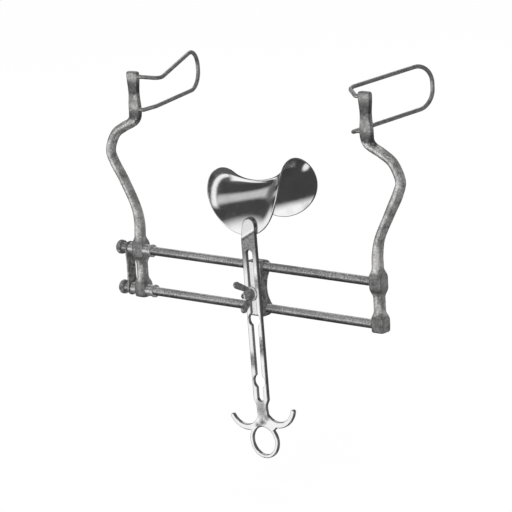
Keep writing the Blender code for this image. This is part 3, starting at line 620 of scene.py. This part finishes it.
def swell(start, top, fall, end, value):
    """Rises from 0 to 1 between start and top, and goes back to 0 between fall and end, in millimetres."""
    return ease(start * MM, top * MM, value) * (1 - ease(fall * MM, end * MM, value))


def hand_bend(side, height):
    """How far to the right each arm strays from its drawn line, as bars bent by hand do."""
    if side > 0:
        return 1.8 * MM * swell(38, 60, 62, 80, height)
    return 1.0 * MM * swell(22, 38, 40, 58, height) - 0.3 * MM * swell(52, 62, 70, 82, height)


def forged_arm(name, arm_x, side):
    """One ring of vertices drawn out along the arm's line, ring by ring, as the bar is forged."""
    bpy.ops.object.select_all(action="DESELECT")
    bpy.ops.mesh.primitive_circle_add(vertices=ARM_SIDES, radius=BAR_RADIUS, fill_type="NGON")
    obj = named(name)
    bpy.ops.object.mode_set(mode="EDIT")
    bpy.ops.mesh.select_all(action="SELECT")
    rings = arm_rings()
    for _ in rings[1:]:
        bpy.ops.mesh.extrude_region_move(TRANSFORM_OT_translate={"value": (0, 0, BAR_RADIUS)})
    bpy.ops.object.mode_set(mode="OBJECT")
    for vertex in obj.data.vertices:
        centre, outward, width, depth, power = rings[round(vertex.co.z / BAR_RADIUS)]
        angle = math.atan2(vertex.co.y, vertex.co.x)
        c, s = math.cos(angle), math.sin(angle)
        spot = centre + outward * width * math.copysign(abs(c) ** (2 / power), c)
        across = arm_x + side * spot.x + hand_bend(side, spot.y)
        vertex.co = (across, depth * math.copysign(abs(s) ** (2 / power), s), spot.y)
    settle(obj)
    return obj


def build_arm(name, arm_x, side, bore_radius, bore_start, bore_end, body):
    obj = forged_arm(name + "_forging", arm_x, side)
    for z in ROD_LEVELS.values():
        drilled(obj, bore_radius, (bore_start, 0, z), (bore_end, 0, z))
    face = arm_x - side * (ELBOW_IN + PLATE_HALF_WIDTH)
    for z in (UPPER_HOLE_Z, LOWER_HOLE_Z):
        drilled(obj, WIRE_RADIUS + FIT, (face - side * PLATE_HALF_WIDTH, 0, z),
                (face + side * (WIRE_SEAT + FIT), 0, z))
    soften(obj, 40)
    show(obj, name, body, FORGED)


# Wire side blades

BLADE_DEPTH = 69.1 * MM
FAR_RISE = 7.1 * MM
FAR_HALF = 14.38 * MM
FAR_OUT = 1.5 * MM
# How much the right blade differs from the middle of the two, and the left one the other way
DEPTH_SPREAD = 0.6 * MM
BEND_SPREAD = 2.3 * MM
LIFT_SPREAD = 0.8 * MM


def rounded_line(corners, radii, steps):
    """The line through the corners, each rounded by its own radius."""
    line = [corners[0]]
    for before, corner, after, radius in zip(corners, corners[1:], corners[2:], radii):
        back = (before - corner).normalized()
        ahead = (after - corner).normalized()
        half = back.angle(ahead) / 2
        centre = corner + (back + ahead).normalized() * (radius / math.sin(half))
        start = corner + back * (radius / math.tan(half)) - centre
        end = corner + ahead * (radius / math.tan(half)) - centre
        sweep = start.angle(end)
        for i in range(steps + 1):
            t = i / steps
            blend = (math.sin((1 - t) * sweep) * start + math.sin(t * sweep) * end) / math.sin(sweep)
            line.append(centre + blend)
    line.append(corners[-1])
    return line


def build_wire(name, arm_x, side, body):
    """One wire from hole to hole, stepped in and splayed round the wound's edge."""
    face = arm_x - side * (ELBOW_IN + PLATE_HALF_WIDTH)
    far_x = face + side * (PLATE_HALF_WIDTH + FAR_OUT)
    deep = BLADE_DEPTH + side * DEPTH_SPREAD
    bend = side * BEND_SPREAD
    far_middle = (LOWER_HOLE_Z + UPPER_HOLE_Z) / 2 + FAR_RISE + side * LIFT_SPREAD
    corners = [Vector(point) for point in (
        (face + side * WIRE_SEAT, 0, UPPER_HOLE_Z),
        (face - side * 2 * WIRE_RADIUS, 0, UPPER_HOLE_Z),
        (face - side * 13.5 * MM, 7.5 * MM, UPPER_HOLE_Z + 0.8 * MM + bend),
        (far_x, deep, far_middle + FAR_HALF),
        (far_x, deep, far_middle - FAR_HALF),
        (face - side * 10.5 * MM, 4.5 * MM, LOWER_HOLE_Z - bend),
        (face - side * 2 * WIRE_RADIUS, 0, LOWER_HOLE_Z),
        (face + side * WIRE_SEAT, 0, LOWER_HOLE_Z))]
    radii = [r * MM for r in (2.8, 6.0, 12.5, 12.5, 3.6, 2.8)]
    curve = bpy.data.curves.new(name, "CURVE")
    curve.dimensions = "3D"
    curve.bevel_depth = WIRE_RADIUS
    curve.bevel_resolution = 6
    curve.use_fill_caps = True
    spline = curve.splines.new("POLY")
    route = rounded_line(corners, radii, 14)
    spline.points.add(len(route) - 1)
    for point, place in zip(spline.points, route):
        point.co = (*place, 1.0)
    obj = bpy.data.objects.new(name + "_wire", curve)
    scene.collection.objects.link(obj)
    only(obj)
    bpy.ops.object.convert(target="MESH")
    obj = bpy.context.object
    settle(obj)
    soften(obj, 50)
    show(obj, name, body, WIRE)


# Rods, sleeves, screws, stud and washer

def round_over(radius, height, size, outward, upward):
    """Points of an eased edge at (radius, height), from the end face to the side or back."""
    return [(radius - size * (1 - math.sin(t)) if outward else radius + size * (1 - math.sin(t)),
             height - size * (1 - math.cos(t)) if upward else height + size * (1 - math.cos(t)))
            for t in (0.0, math.pi / 6, math.pi / 3, math.pi / 2)]


def build_rod(level):
    z = ROD_LEVELS[level]
    end = FIXED_ARM_X - BOSS_HALF + ROD_SEAT
    length = end - ROD_START_X
    hole = SHANK_RADIUS + FIT
    depth = SHANK_LENGTH + FIT
    profile = [(0, length), (ROD_RADIUS - FIT, length), (ROD_RADIUS, length - FIT), (ROD_RADIUS, FIT),
               (ROD_RADIUS - FIT, 0), (hole, 0), (hole, depth), (0, depth)]
    rod = turned(f"{level}_slide_rod", profile, along_x(ROD_START_X, z), 72)
    soften(rod)
    show(rod, f"{level}_rod", "frame", ROD)


def build_sleeve(level):
    z = ROD_LEVELS[level]
    length = SLEEVE_OUT + SLEEVE_IN
    outer = BORE_RADIUS + 0.6 * MM
    ring = 4.4 * MM
    ring_start = length - 1.8 * MM
    profile = [*round_over(ring, length, 0.3 * MM, True, True),
               *reversed(round_over(ring, ring_start, 0.3 * MM, True, False)),
               (outer, ring_start), (outer, 0.1 * MM), (outer - 0.1 * MM, 0.0),
               (BORE_RADIUS, 0.0), (BORE_RADIUS, length - 0.2 * MM), (BORE_RADIUS + 0.2 * MM, length)]
    sleeve = turned(f"{level}_slide_sleeve", profile, along_x(SLIDING_ARM_X - SLEEVE_OUT, z), 72)
    soften(sleeve)
    show(sleeve, f"{level}_sleeve", "sliding_arm", SLEEVE)


def build_end_screw(level):
    """Knob with a finely grooved rim, neck and shank."""
    z = ROD_LEVELS[level]
    neck = 3.1 * MM
    knob, knob_start, knob_end = 4.9 * MM, 4.2 * MM, 8.4 * MM
    edge = 1.5 * MM
    shank_end = -(LINK_THICKNESS + 2 * FIT + SHANK_LENGTH)
    turn = [math.radians(a) for a in (90, 70, 50, 30, 10, 0)]
    crown = [(knob - edge + edge * math.cos(a), knob_end - edge + edge * math.sin(a)) for a in turn]
    base = [(r, knob_start + knob_end - h) for r, h in reversed(crown)]
    profile = [(0, knob_end + 0.3 * MM), *crown, *base,
               (neck, knob_start), (neck, 0.2 * MM), (neck - 0.2 * MM, 0.0),
               (SHANK_RADIUS, 0.0), (SHANK_RADIUS, shank_end + 0.3 * MM),
               (SHANK_RADIUS - 0.3 * MM, shank_end), (0, shank_end)]
    screw = turned(f"{level}_knob_screw", profile, Matrix.Identity(4), 144)
    for vertex in screw.data.vertices:
        radius = math.hypot(vertex.co.x, vertex.co.y)
        rim = ease(knob - 1.0 * MM, knob - 0.3 * MM, radius)
        if rim > 0 and knob_start < vertex.co.z < knob_end:
            groove = 0.5 - 0.5 * math.cos(36 * math.atan2(vertex.co.y, vertex.co.x))
            scale = 1 - 0.045 * rim * groove
            vertex.co.x *= scale
            vertex.co.y *= scale
    screw.data.transform(along_x(LINK_OUTER_X - FIT, z, -1))
    settle(screw)
    soften(screw, 30)
    show(screw, f"{level}_end_screw", f"{level}_end_screw", KNOB)


def build_stud():
    """The stud with its thread cut along the front."""
    radius, pitch, depth = STUD_RADIUS, 0.7 * MM, 0.3 * MM
    front = -HANDLE_FRONT + 9.2 * MM
    back = CARRIAGE_FRONT - 4.9 * MM + FIT
    sides, per_turn = 36, 6
    step = pitch / per_turn
    rows = round((front - back) / step)
    step = (front - back) / rows
    bpy.ops.object.select_all(action="DESELECT")
    bpy.ops.mesh.primitive_circle_add(vertices=sides, radius=radius, fill_type="NGON")
    obj = named("threaded_stud")
    bpy.ops.object.mode_set(mode="EDIT")
    bpy.ops.mesh.select_all(action="SELECT")
    for _ in range(rows):
        bpy.ops.mesh.extrude_region_move(TRANSFORM_OT_translate={"value": (0, 0, step)})
    bpy.ops.mesh.inset(thickness=0.6 * MM, depth=0)
    bpy.ops.mesh.inset(thickness=0.25 * MM, depth=-1.6 * MM)
    bpy.ops.object.mode_set(mode="OBJECT")
    length = front - back
    for vertex in obj.data.vertices:
        reach = math.hypot(vertex.co.x, vertex.co.y)
        if reach > radius - 0.1 * MM:
            turn = vertex.co.z / pitch - math.atan2(vertex.co.y, vertex.co.x) / (2 * math.pi)
            cut = abs(2 * (turn % 1.0) - 1)
            near_end = ease(0.0, 0.8 * MM, min(vertex.co.z, length - vertex.co.z))
            scale = 1 - (depth / radius) * mix(1.0, cut, near_end)
            vertex.co.x *= scale
            vertex.co.y *= scale
        vertex.co.z += back
    obj.data.transform(to_front(0, -STUD_DROP))
    settle(obj)
    soften(obj, 30)
    show(obj, "clamp_stud", "carriage", STUD)


def build_washer():
    hole = STUD_RADIUS + FIT
    thick = 0.9 * MM
    profile = [*round_over(5.0 * MM, thick, 0.25 * MM, True, True),
               *reversed(round_over(5.0 * MM, 0.0, 0.1 * MM, True, False)),
               (hole, 0.0), (hole, thick - 0.1 * MM), (hole + 0.1 * MM, thick)]
    washer = turned("flat_washer", profile, to_front(HANDLE_FRONT - FIT, -STUD_DROP), 72)
    soften(washer)
    show(washer, "clamp_washer", "clamp_washer", STUD)


# Carriage, link and wing nut

HOLLOW_REACH = 12.5 * MM
HOLLOW_DEPTH = 4.2 * MM


def build_carriage():
    """The block, hollowed along one long curve from boss to boss behind the stud."""
    block = copy_of("carriage", "slide_carriage")
    apply_modifier(block, "REMESH", mode="VOXEL", voxel_size=0.22 * MM)
    for vertex in block.data.vertices:
        x, y, z = vertex.co
        off_bores = min(math.hypot(y, z - h) for h in ROD_LEVELS.values()) > BORE_RADIUS + 0.6 * MM
        if y > -0.15 * MM and abs(z) < HOLLOW_REACH and off_bores:
            vertex.co.y = max(y, HOLLOW_DEPTH * (z / HOLLOW_REACH) ** 2)
    apply_modifier(block, "SMOOTH", factor=0.5, iterations=8)
    soften(block, 60)
    show(block, "carriage", "carriage", BLOCK)


def build_link():
    strap = copy_of("end_link", "rod_end_link")
    apply_modifier(strap, "BEVEL", width=0.25 * MM, segments=3, limit_method="ANGLE",
                   angle_limit=math.radians(50))
    soften(strap, 32)
    show(strap, "end_link", "frame", BLOCK)


def build_wing_nut():
    """The nut is remeshed finely, so that its wings run into the hub in soft cast fillets."""
    nut = copy_of("wing_nut", "cast_wing_nut")
    apply_modifier(nut, "REMESH", mode="VOXEL", voxel_size=0.14 * MM)
    apply_modifier(nut, "SMOOTH", factor=0.5, iterations=14)
    soften(nut, 60)
    show(nut, "wing_nut", "wing_nut", NUT)


# Slotted handle and saddle blade

SHEET = 1.2 * MM
NEAR_LIP = (HANDLE_BACK + FIT, 38.6 * MM)
FAR_LIP = (34.3 * MM, 42.9 * MM)
EAR = (32.5 * MM, 14.8 * MM, 83.9 * MM)
CROWN = (16.2 * MM, 71.6 * MM)
RIM_FULLNESS = 4.7 * MM
LIP_FULLNESS = 4.9 * MM
LIP_FALL = 2.0 * MM
WALL_FULLNESS = 3.4 * MM


def saddle(radius, angle):
    """A point of the blade's outer face. radius is 0 at the crown and 1 on the rim."""
    lips_y = (NEAR_LIP[0] + FAR_LIP[0]) / 2
    lips_z = (NEAR_LIP[1] + FAR_LIP[1]) / 2
    middle_y = (lips_y + EAR[1]) / 2
    middle_z = (lips_z + EAR[2]) / 2
    half_reach = (FAR_LIP[0] - NEAR_LIP[0]) / 2 + LIP_FULLNESS
    lean = (NEAR_LIP[1] - FAR_LIP[1]) / 2 + LIP_FALL
    one, two, three = (radius ** n for n in (1, 2, 3))
    inside = 1 - two
    x = (EAR[0] + RIM_FULLNESS) * one * math.sin(angle) + RIM_FULLNESS * three * math.sin(3 * angle)
    y = (middle_y - half_reach * one * math.cos(angle) + (lips_y - EAR[1]) / 2 * two * math.cos(2 * angle)
         + LIP_FULLNESS * three * math.cos(3 * angle) + (CROWN[0] - middle_y) * inside
         - WALL_FULLNESS * one * inside * math.cos(angle))
    z = (middle_z + lean * one * math.cos(angle) + (lips_z - EAR[2]) / 2 * two * math.cos(2 * angle)
         - LIP_FALL * three * math.cos(3 * angle) + (CROWN[1] - middle_z) * inside)
    rise = Vector((x, z - NEAR_LIP[1]))
    rise.rotate(Matrix.Rotation(HEAD_ROLL, 2))
    return Vector((rise.x, y, rise.y + NEAR_LIP[1]))


def build_blade():
    """Half a ball's grid is laid on the saddle and given the sheet's thickness and eased rim."""
    bpy.ops.object.select_all(action="DESELECT")
    bpy.ops.mesh.primitive_uv_sphere_add(segments=160, ring_count=128, radius=1.0)
    obj = named("saddle_blade")
    bpy.ops.object.mode_set(mode="EDIT")
    bpy.ops.mesh.select_all(action="SELECT")
    bpy.ops.mesh.bisect(plane_co=(0, 0, 0), plane_no=(0, 0, 1), clear_inner=True, use_fill=False)
    bpy.ops.object.mode_set(mode="OBJECT")
    for vertex in obj.data.vertices:
        polar = math.acos(min(max(vertex.co.z, -1.0), 1.0))
        around = math.atan2(vertex.co.x, vertex.co.y)
        vertex.co = saddle(min(polar / (math.pi / 2), 1.0), around)
    obj.data.transform(HANDLE_PLACE)
    settle(obj)
    top = max(obj.data.polygons, key=lambda face: -abs(face.center.x) - abs(face.center.y - CROWN[0]))
    if top.normal.z < 0:
        obj.data.flip_normals()
    apply_modifier(obj, "SOLIDIFY", thickness=SHEET, offset=-1.0)
    apply_modifier(obj, "BEVEL", width=0.35 * SHEET, segments=3, limit_method="ANGLE",
                   angle_limit=math.radians(60))
    soften(obj, 50)
    show(obj, "centre_blade", "centre_blade", MIRROR)


def polar(centre, radius, degrees):
    turn = math.radians(degrees)
    return (centre[0] + radius * math.cos(turn), centre[1] + radius * math.sin(turn))


def arc(centre, radius, start, end, steps):
    return [polar(centre, radius, start + (end - start) * i / steps) for i in range(steps + 1)]


def hook_outline(side):
    """One finger hook: up its inner curve, round the tip and back under as far as the ring."""
    tip = HOOK_SWEEP - 90
    centre = (HOOK_OUT, HOOK_LOW_Z + HOOK_RADIUS)
    points = arc(centre, HOOK_RADIUS, -148, tip, 30)
    points += arc(polar(centre, HOOK_RADIUS + HOOK_TIP / 2, tip), HOOK_TIP / 2, tip + 180, tip, 14)[1:-1]
    for i in range(1, 31):
        t = i / 30
        points.append(polar(centre, HOOK_RADIUS + mix(HOOK_TIP, HOOK_ROOT, t * t), mix(tip, -106, t)))
    turn = Matrix.Rotation(HEAD_ROLL, 2)
    neck = Vector((0, (SHOULDER_Z + HOOK_LOW_Z) / 2))
    points = [turn @ (Vector((side * u, v)) - neck) + neck for u, v in points]
    return [(u, v) for u, v in points if math.hypot(u, v - RING_Z) > RING_RADIUS + RING_BAND]


def bar_outline():
    """The bar's outline, from the tongue's round end down one side to the ring and up the other."""
    right = arc((0, TONGUE_TOP - BAR_HALF), BAR_HALF, 90, 0, 24)
    right += [tuple(point) for point in smooth_line([Vector(point) for point in (
        (BAR_HALF, SHOULDER_Z + 3.0 * MM), (BAR_HALF, SHOULDER_Z + 0.3 * MM),
        (0.84 * BAR_HALF, SHOULDER_Z - 1.8 * MM), (0.71 * BAR_HALF, SHOULDER_Z - 3.6 * MM),
        (0.68 * BAR_HALF, SHOULDER_Z - 6.0 * MM))], 5)]
    left = [(-u, v) for u, v in reversed(right)][:-1]
    right_hook, left_hook = hook_outline(1), hook_outline(-1)
    start, end = (math.degrees(math.atan2(v - RING_Z, u)) for u, v in (right_hook[-1], left_hook[-1]))
    ring = arc((0, RING_Z), RING_RADIUS + RING_BAND, start, end - 360, 72)
    return right + right_hook + ring + list(reversed(left_hook)) + left


def slot_outline():
    """The slot with its round ends and the two keyholes that let the nut pass."""
    half = math.degrees(math.asin(SLOT_HALF / KEYHOLE_RADIUS))
    right = arc((0, SLOT_TOP - SLOT_HALF), SLOT_HALF, 90, 0, 12)
    for z in KEYHOLE_HEIGHTS:
        right += arc((0, z), KEYHOLE_RADIUS, 90 - half, half - 90, 30)
    right += arc((0, SLOT_BOTTOM + SLOT_HALF), SLOT_HALF, 0, -90, 12)
    return right + [(-u, v) for u, v in reversed(right)][1:-1]


def build_handle():
    """Flat bar with eased edges, whose round tongue is bent back onto the blade along a slanting line."""
    curve = bpy.data.curves.new("slotted_bar", "CURVE")
    curve.dimensions = "2D"
    curve.fill_mode = "BOTH"
    curve.extrude = BAR_THICKNESS / 2 - EDGE_ROUND
    curve.bevel_depth = EDGE_ROUND
    curve.bevel_resolution = 3
    curve.offset = -EDGE_ROUND
    for outline in (bar_outline(), slot_outline(), arc((0, RING_Z), RING_RADIUS, 0, 355, 71)):
        spline = curve.splines.new("POLY")
        spline.points.add(len(outline) - 1)
        for point, (u, v) in zip(spline.points, outline):
            point.co = (u, v, 0.0, 1.0)
        spline.use_cyclic_u = True
    bar = bpy.data.objects.new("slotted_bar", curve)
    scene.collection.objects.link(bar)
    only(bar)
    bpy.ops.object.convert(target="MESH")
    bar = bpy.context.object
    bar.data.transform(to_front((HANDLE_BACK + HANDLE_FRONT) / 2, 0))
    slant = Vector((-math.sin(BEND_SLANT), 0, math.cos(BEND_SLANT)))
    bend = Vector((0, 0, BEND_Z))
    bpy.ops.object.mode_set(mode="EDIT")
    for away in (-2.0, -1.2, -0.4, 0.4, 1.2, 2.0, 5.0, 8.0):
        bpy.ops.mesh.select_all(action="SELECT")
        bpy.ops.mesh.bisect(plane_co=bend + slant * away * MM, plane_no=slant)
    bpy.ops.object.mode_set(mode="OBJECT")
    for vertex in bar.data.vertices:
        away = (vertex.co - bend).dot(slant)
        drop = max(away, 0.0) if abs(away) > BEND_REACH else (away + BEND_REACH) ** 2 / (4 * BEND_REACH)
        back = BACK_LEAN if vertex.co.y > (HANDLE_BACK + HANDLE_FRONT) / 2 else 1.0
        vertex.co.y += drop * math.tan(BEND_LEAN) * back
    bar.data.transform(HANDLE_PLACE)
    settle(bar)
    soften(bar, 40)
    apply_modifier(bar, "WEIGHTED_NORMAL", weight=60, keep_sharp=True)
    show(bar, "blade_handle", "centre_blade", BAR)


# Stage, camera and light

# How much of the floor's look to the camera is plain white
FLOOR_WHITE = 0.88


def plain_surface(name, tone):
    """A pale matt surface that the camera sees nearly white."""
    paint = Finish(name)
    paint.finish((*grey(tone), 1.0), 0.9, metal=0.0)
    rays = paint.node("ShaderNodeLightPath", {}, {}, "Is Camera Ray")
    glow = paint.node("ShaderNodeEmission", {}, {"Color": (1, 1, 1, 1), "Strength": 1.0})
    matt = Value(paint, paint.shader.outputs[0])
    mixed = paint.node("ShaderNodeMixShader", {}, {0: rays * FLOOR_WHITE, 1: matt, 2: glow})
    output = paint.tree.nodes["Material Output"]
    paint.tree.links.new(mixed.socket, output.inputs["Surface"])
    return paint.material


def build_stage():
    low = cad_box[0].z - FLOOR_GAP
    bpy.ops.object.select_all(action="DESELECT")
    bpy.ops.mesh.primitive_plane_add(size=6.0, location=(0, 0, low))
    floor = named("floor")
    floor.data.materials.append(plain_surface("floor_paint", 0.95))
    floor.visible_glossy = False


def build_camera():
    back = direction(CAMERA_AZIMUTH, CAMERA_ELEVATION)
    right = Vector((math.cos(math.radians(CAMERA_AZIMUTH)), math.sin(math.radians(CAMERA_AZIMUTH)), 0))
    up = back.cross(right)
    turn = Matrix((right, up, back)).transposed() @ Matrix.Rotation(CAMERA_ROLL, 3, "Z")
    data = bpy.data.cameras.new("camera")
    data.sensor_width = 36.0
    data.lens = FOCAL_PIXELS / FRAME_PIXELS * data.sensor_width
    data.clip_start, data.clip_end = 0.01, 50.0
    camera = bpy.data.objects.new("camera", data)
    scene.collection.objects.link(camera)
    camera.matrix_world = Matrix.Translation(CAMERA_TARGET + back * CAMERA_DISTANCE) @ turn.to_4x4()
    scene.camera = camera


def soft_lamp(name, azimuth, elevation, distance, width, height, radiance):
    """A flat soft lamp that faces the object. radiance is how bright its face looks, 1 being white."""
    back = direction(azimuth, elevation)
    data = bpy.data.lights.new(name, "AREA")
    data.shape = "RECTANGLE"
    data.size, data.size_y = width, height
    data.energy = radiance * math.pi * width * height
    lamp = bpy.data.objects.new(name, data)
    scene.collection.objects.link(lamp)
    lamp.visible_glossy = False
    lamp.location = CAMERA_TARGET + back * distance
    lamp.rotation_mode = "QUATERNION"
    lamp.rotation_quaternion = back.to_track_quat("Z", "Y")


def direction(azimuth, elevation):
    """Unit vector towards a place in the studio. Azimuth 0 is in front of the rods, 90 to their right."""
    a, e = math.radians(azimuth), math.radians(elevation)
    return Vector((math.sin(a) * math.cos(e), -math.cos(a) * math.cos(e), math.sin(e)))


class Room(Finish):
    """The studio's walls, as the polished steel shows them."""

    def __init__(self, name):
        self.world = bpy.data.worlds.new(name)
        self.world.use_nodes = True
        self.tree = self.world.node_tree
        self.place = self.node("ShaderNodeTexCoord", {}, {}, "Generated")

    def card(self, azimuth, elevation, inner, outer):
        """A round patch of wall: 1 within the inner angle from its middle and 0 beyond the outer one."""
        facing = self.node("ShaderNodeVectorMath", {"operation": "DOT_PRODUCT"},
                           {0: self.place, 1: direction(azimuth, elevation)}, "Value")
        return facing.within(math.cos(math.radians(outer)), math.cos(math.radians(inner)))


# Azimuth and elevation, in degrees, of the middle of the card and of the windows' ring
CARD_MIDDLE = (-30, -25)
WINDOW_MIDDLE = (-73, 36)
DARK_WALL = 0.055


def build_world():
    """A white card in front, a long lamp and a ring of windows at the left, and dark walls between."""
    room = Room("studio")
    height = room.axis(2)
    above = height.within(-0.04, 0.04)
    card_above = room.card(*CARD_MIDDLE, 31, 46)
    card_below = room.card(-30, 35, 55, 68)
    left_half = 1 - room.axis(0).within(-0.05, 0.12)
    long_lamp = (room.card(*CARD_MIDDLE, 76, 87) - room.card(*CARD_MIDDLE, 60, 69)) * above * left_half
    front_card = card_above * above + card_below * (1 - above)
    left = 1 - room.axis(0).within(-0.4, -0.2)
    outside = room.card(*WINDOW_MIDDLE, 62, 66)
    roof_window = (outside - room.card(*WINDOW_MIDDLE, 54, 58.5)) * height.within(0.44, 0.56) * (1 - left)
    side_window = (outside - room.card(*WINDOW_MIDDLE, 55.5, 59)) * height.within(-0.12, 0.0) * left
    behind = room.axis(1).within(0.05, 0.25)
    back_window = (outside - room.card(*WINDOW_MIDDLE, 42, 48)) * height.within(0.2, 0.4) * left * behind
    walls = [(front_card, 0.97), (long_lamp, 0.55),
             (room.card(180, 40, 35, 60), 0.10),
             (room.card(75, -76, 4, 11), 0.9),
             (room.card(40, -8, 10, 26), 0.8),
             (room.card(140, -15, 14, 34), 0.22),
             (side_window, 1.0), (roof_window, 1.0), (back_window, 1.0)]
    level = DARK_WALL
    for wall, brightness in walls:
        level = (wall * brightness).math("MAXIMUM", level)
    camera_ray = room.node("ShaderNodeLightPath", {}, {}, "Is Camera Ray")
    glossy_ray = room.node("ShaderNodeLightPath", {}, {}, "Is Glossy Ray")
    level = level * glossy_ray + (1 - glossy_ray)
    level = level.math("MAXIMUM", camera_ray)
    shade = room.tree.nodes["Background"]
    room.feed(shade.inputs["Color"], room.blend(level, (0, 0, 0), (1, 1, 1)))
    scene.world = room.world


FORGED = forged_steel()
WIRE = bent_wire()
ROD = ground_rod()
SLEEVE = turned_steel("turned_sleeve", 0.50, 0.95)
KNOB = turned_steel("turned_knob", 0.24, 0.60)
STUD = turned_steel("turned_stud", 0.36, 0.80)
NUT = turned_steel("cast_nut", 0.26, 0.66)
BLOCK = machined_block()
BAR = polished_bar()
MIRROR = mirror_sheet()

build_camera()
build_world()
build_stage()
soft_lamp("side_lamp", -135, 45, 1.6, 0.9, 0.9, 1.2)
soft_lamp("top_lamp", 8, 62, 1.6, 0.5, 0.35, 4.0)

seat_end = FIXED_ARM_X - BOSS_HALF + ROD_SEAT + FIT
build_arm("fixed_arm", FIXED_ARM_X, 1, BORE_RADIUS, FIXED_ARM_X - 2 * BOSS_HALF, seat_end, "frame")
build_arm("sliding_arm", SLIDING_ARM_X, -1, BORE_RADIUS + 0.9 * MM, SLIDING_ARM_X - 2 * BOSS_HALF,
          SLIDING_ARM_X + 2 * BOSS_HALF, "sliding_arm")
build_wire("fixed_side_blade", FIXED_ARM_X, 1, "frame")
build_wire("sliding_side_blade", SLIDING_ARM_X, -1, "sliding_arm")
for level in ROD_LEVELS:
    build_rod(level)
    build_sleeve(level)
    build_end_screw(level)
build_link()
build_carriage()
build_stud()
build_washer()
build_wing_nut()
build_handle()
build_blade()

scene.view_settings.view_transform = "Standard"
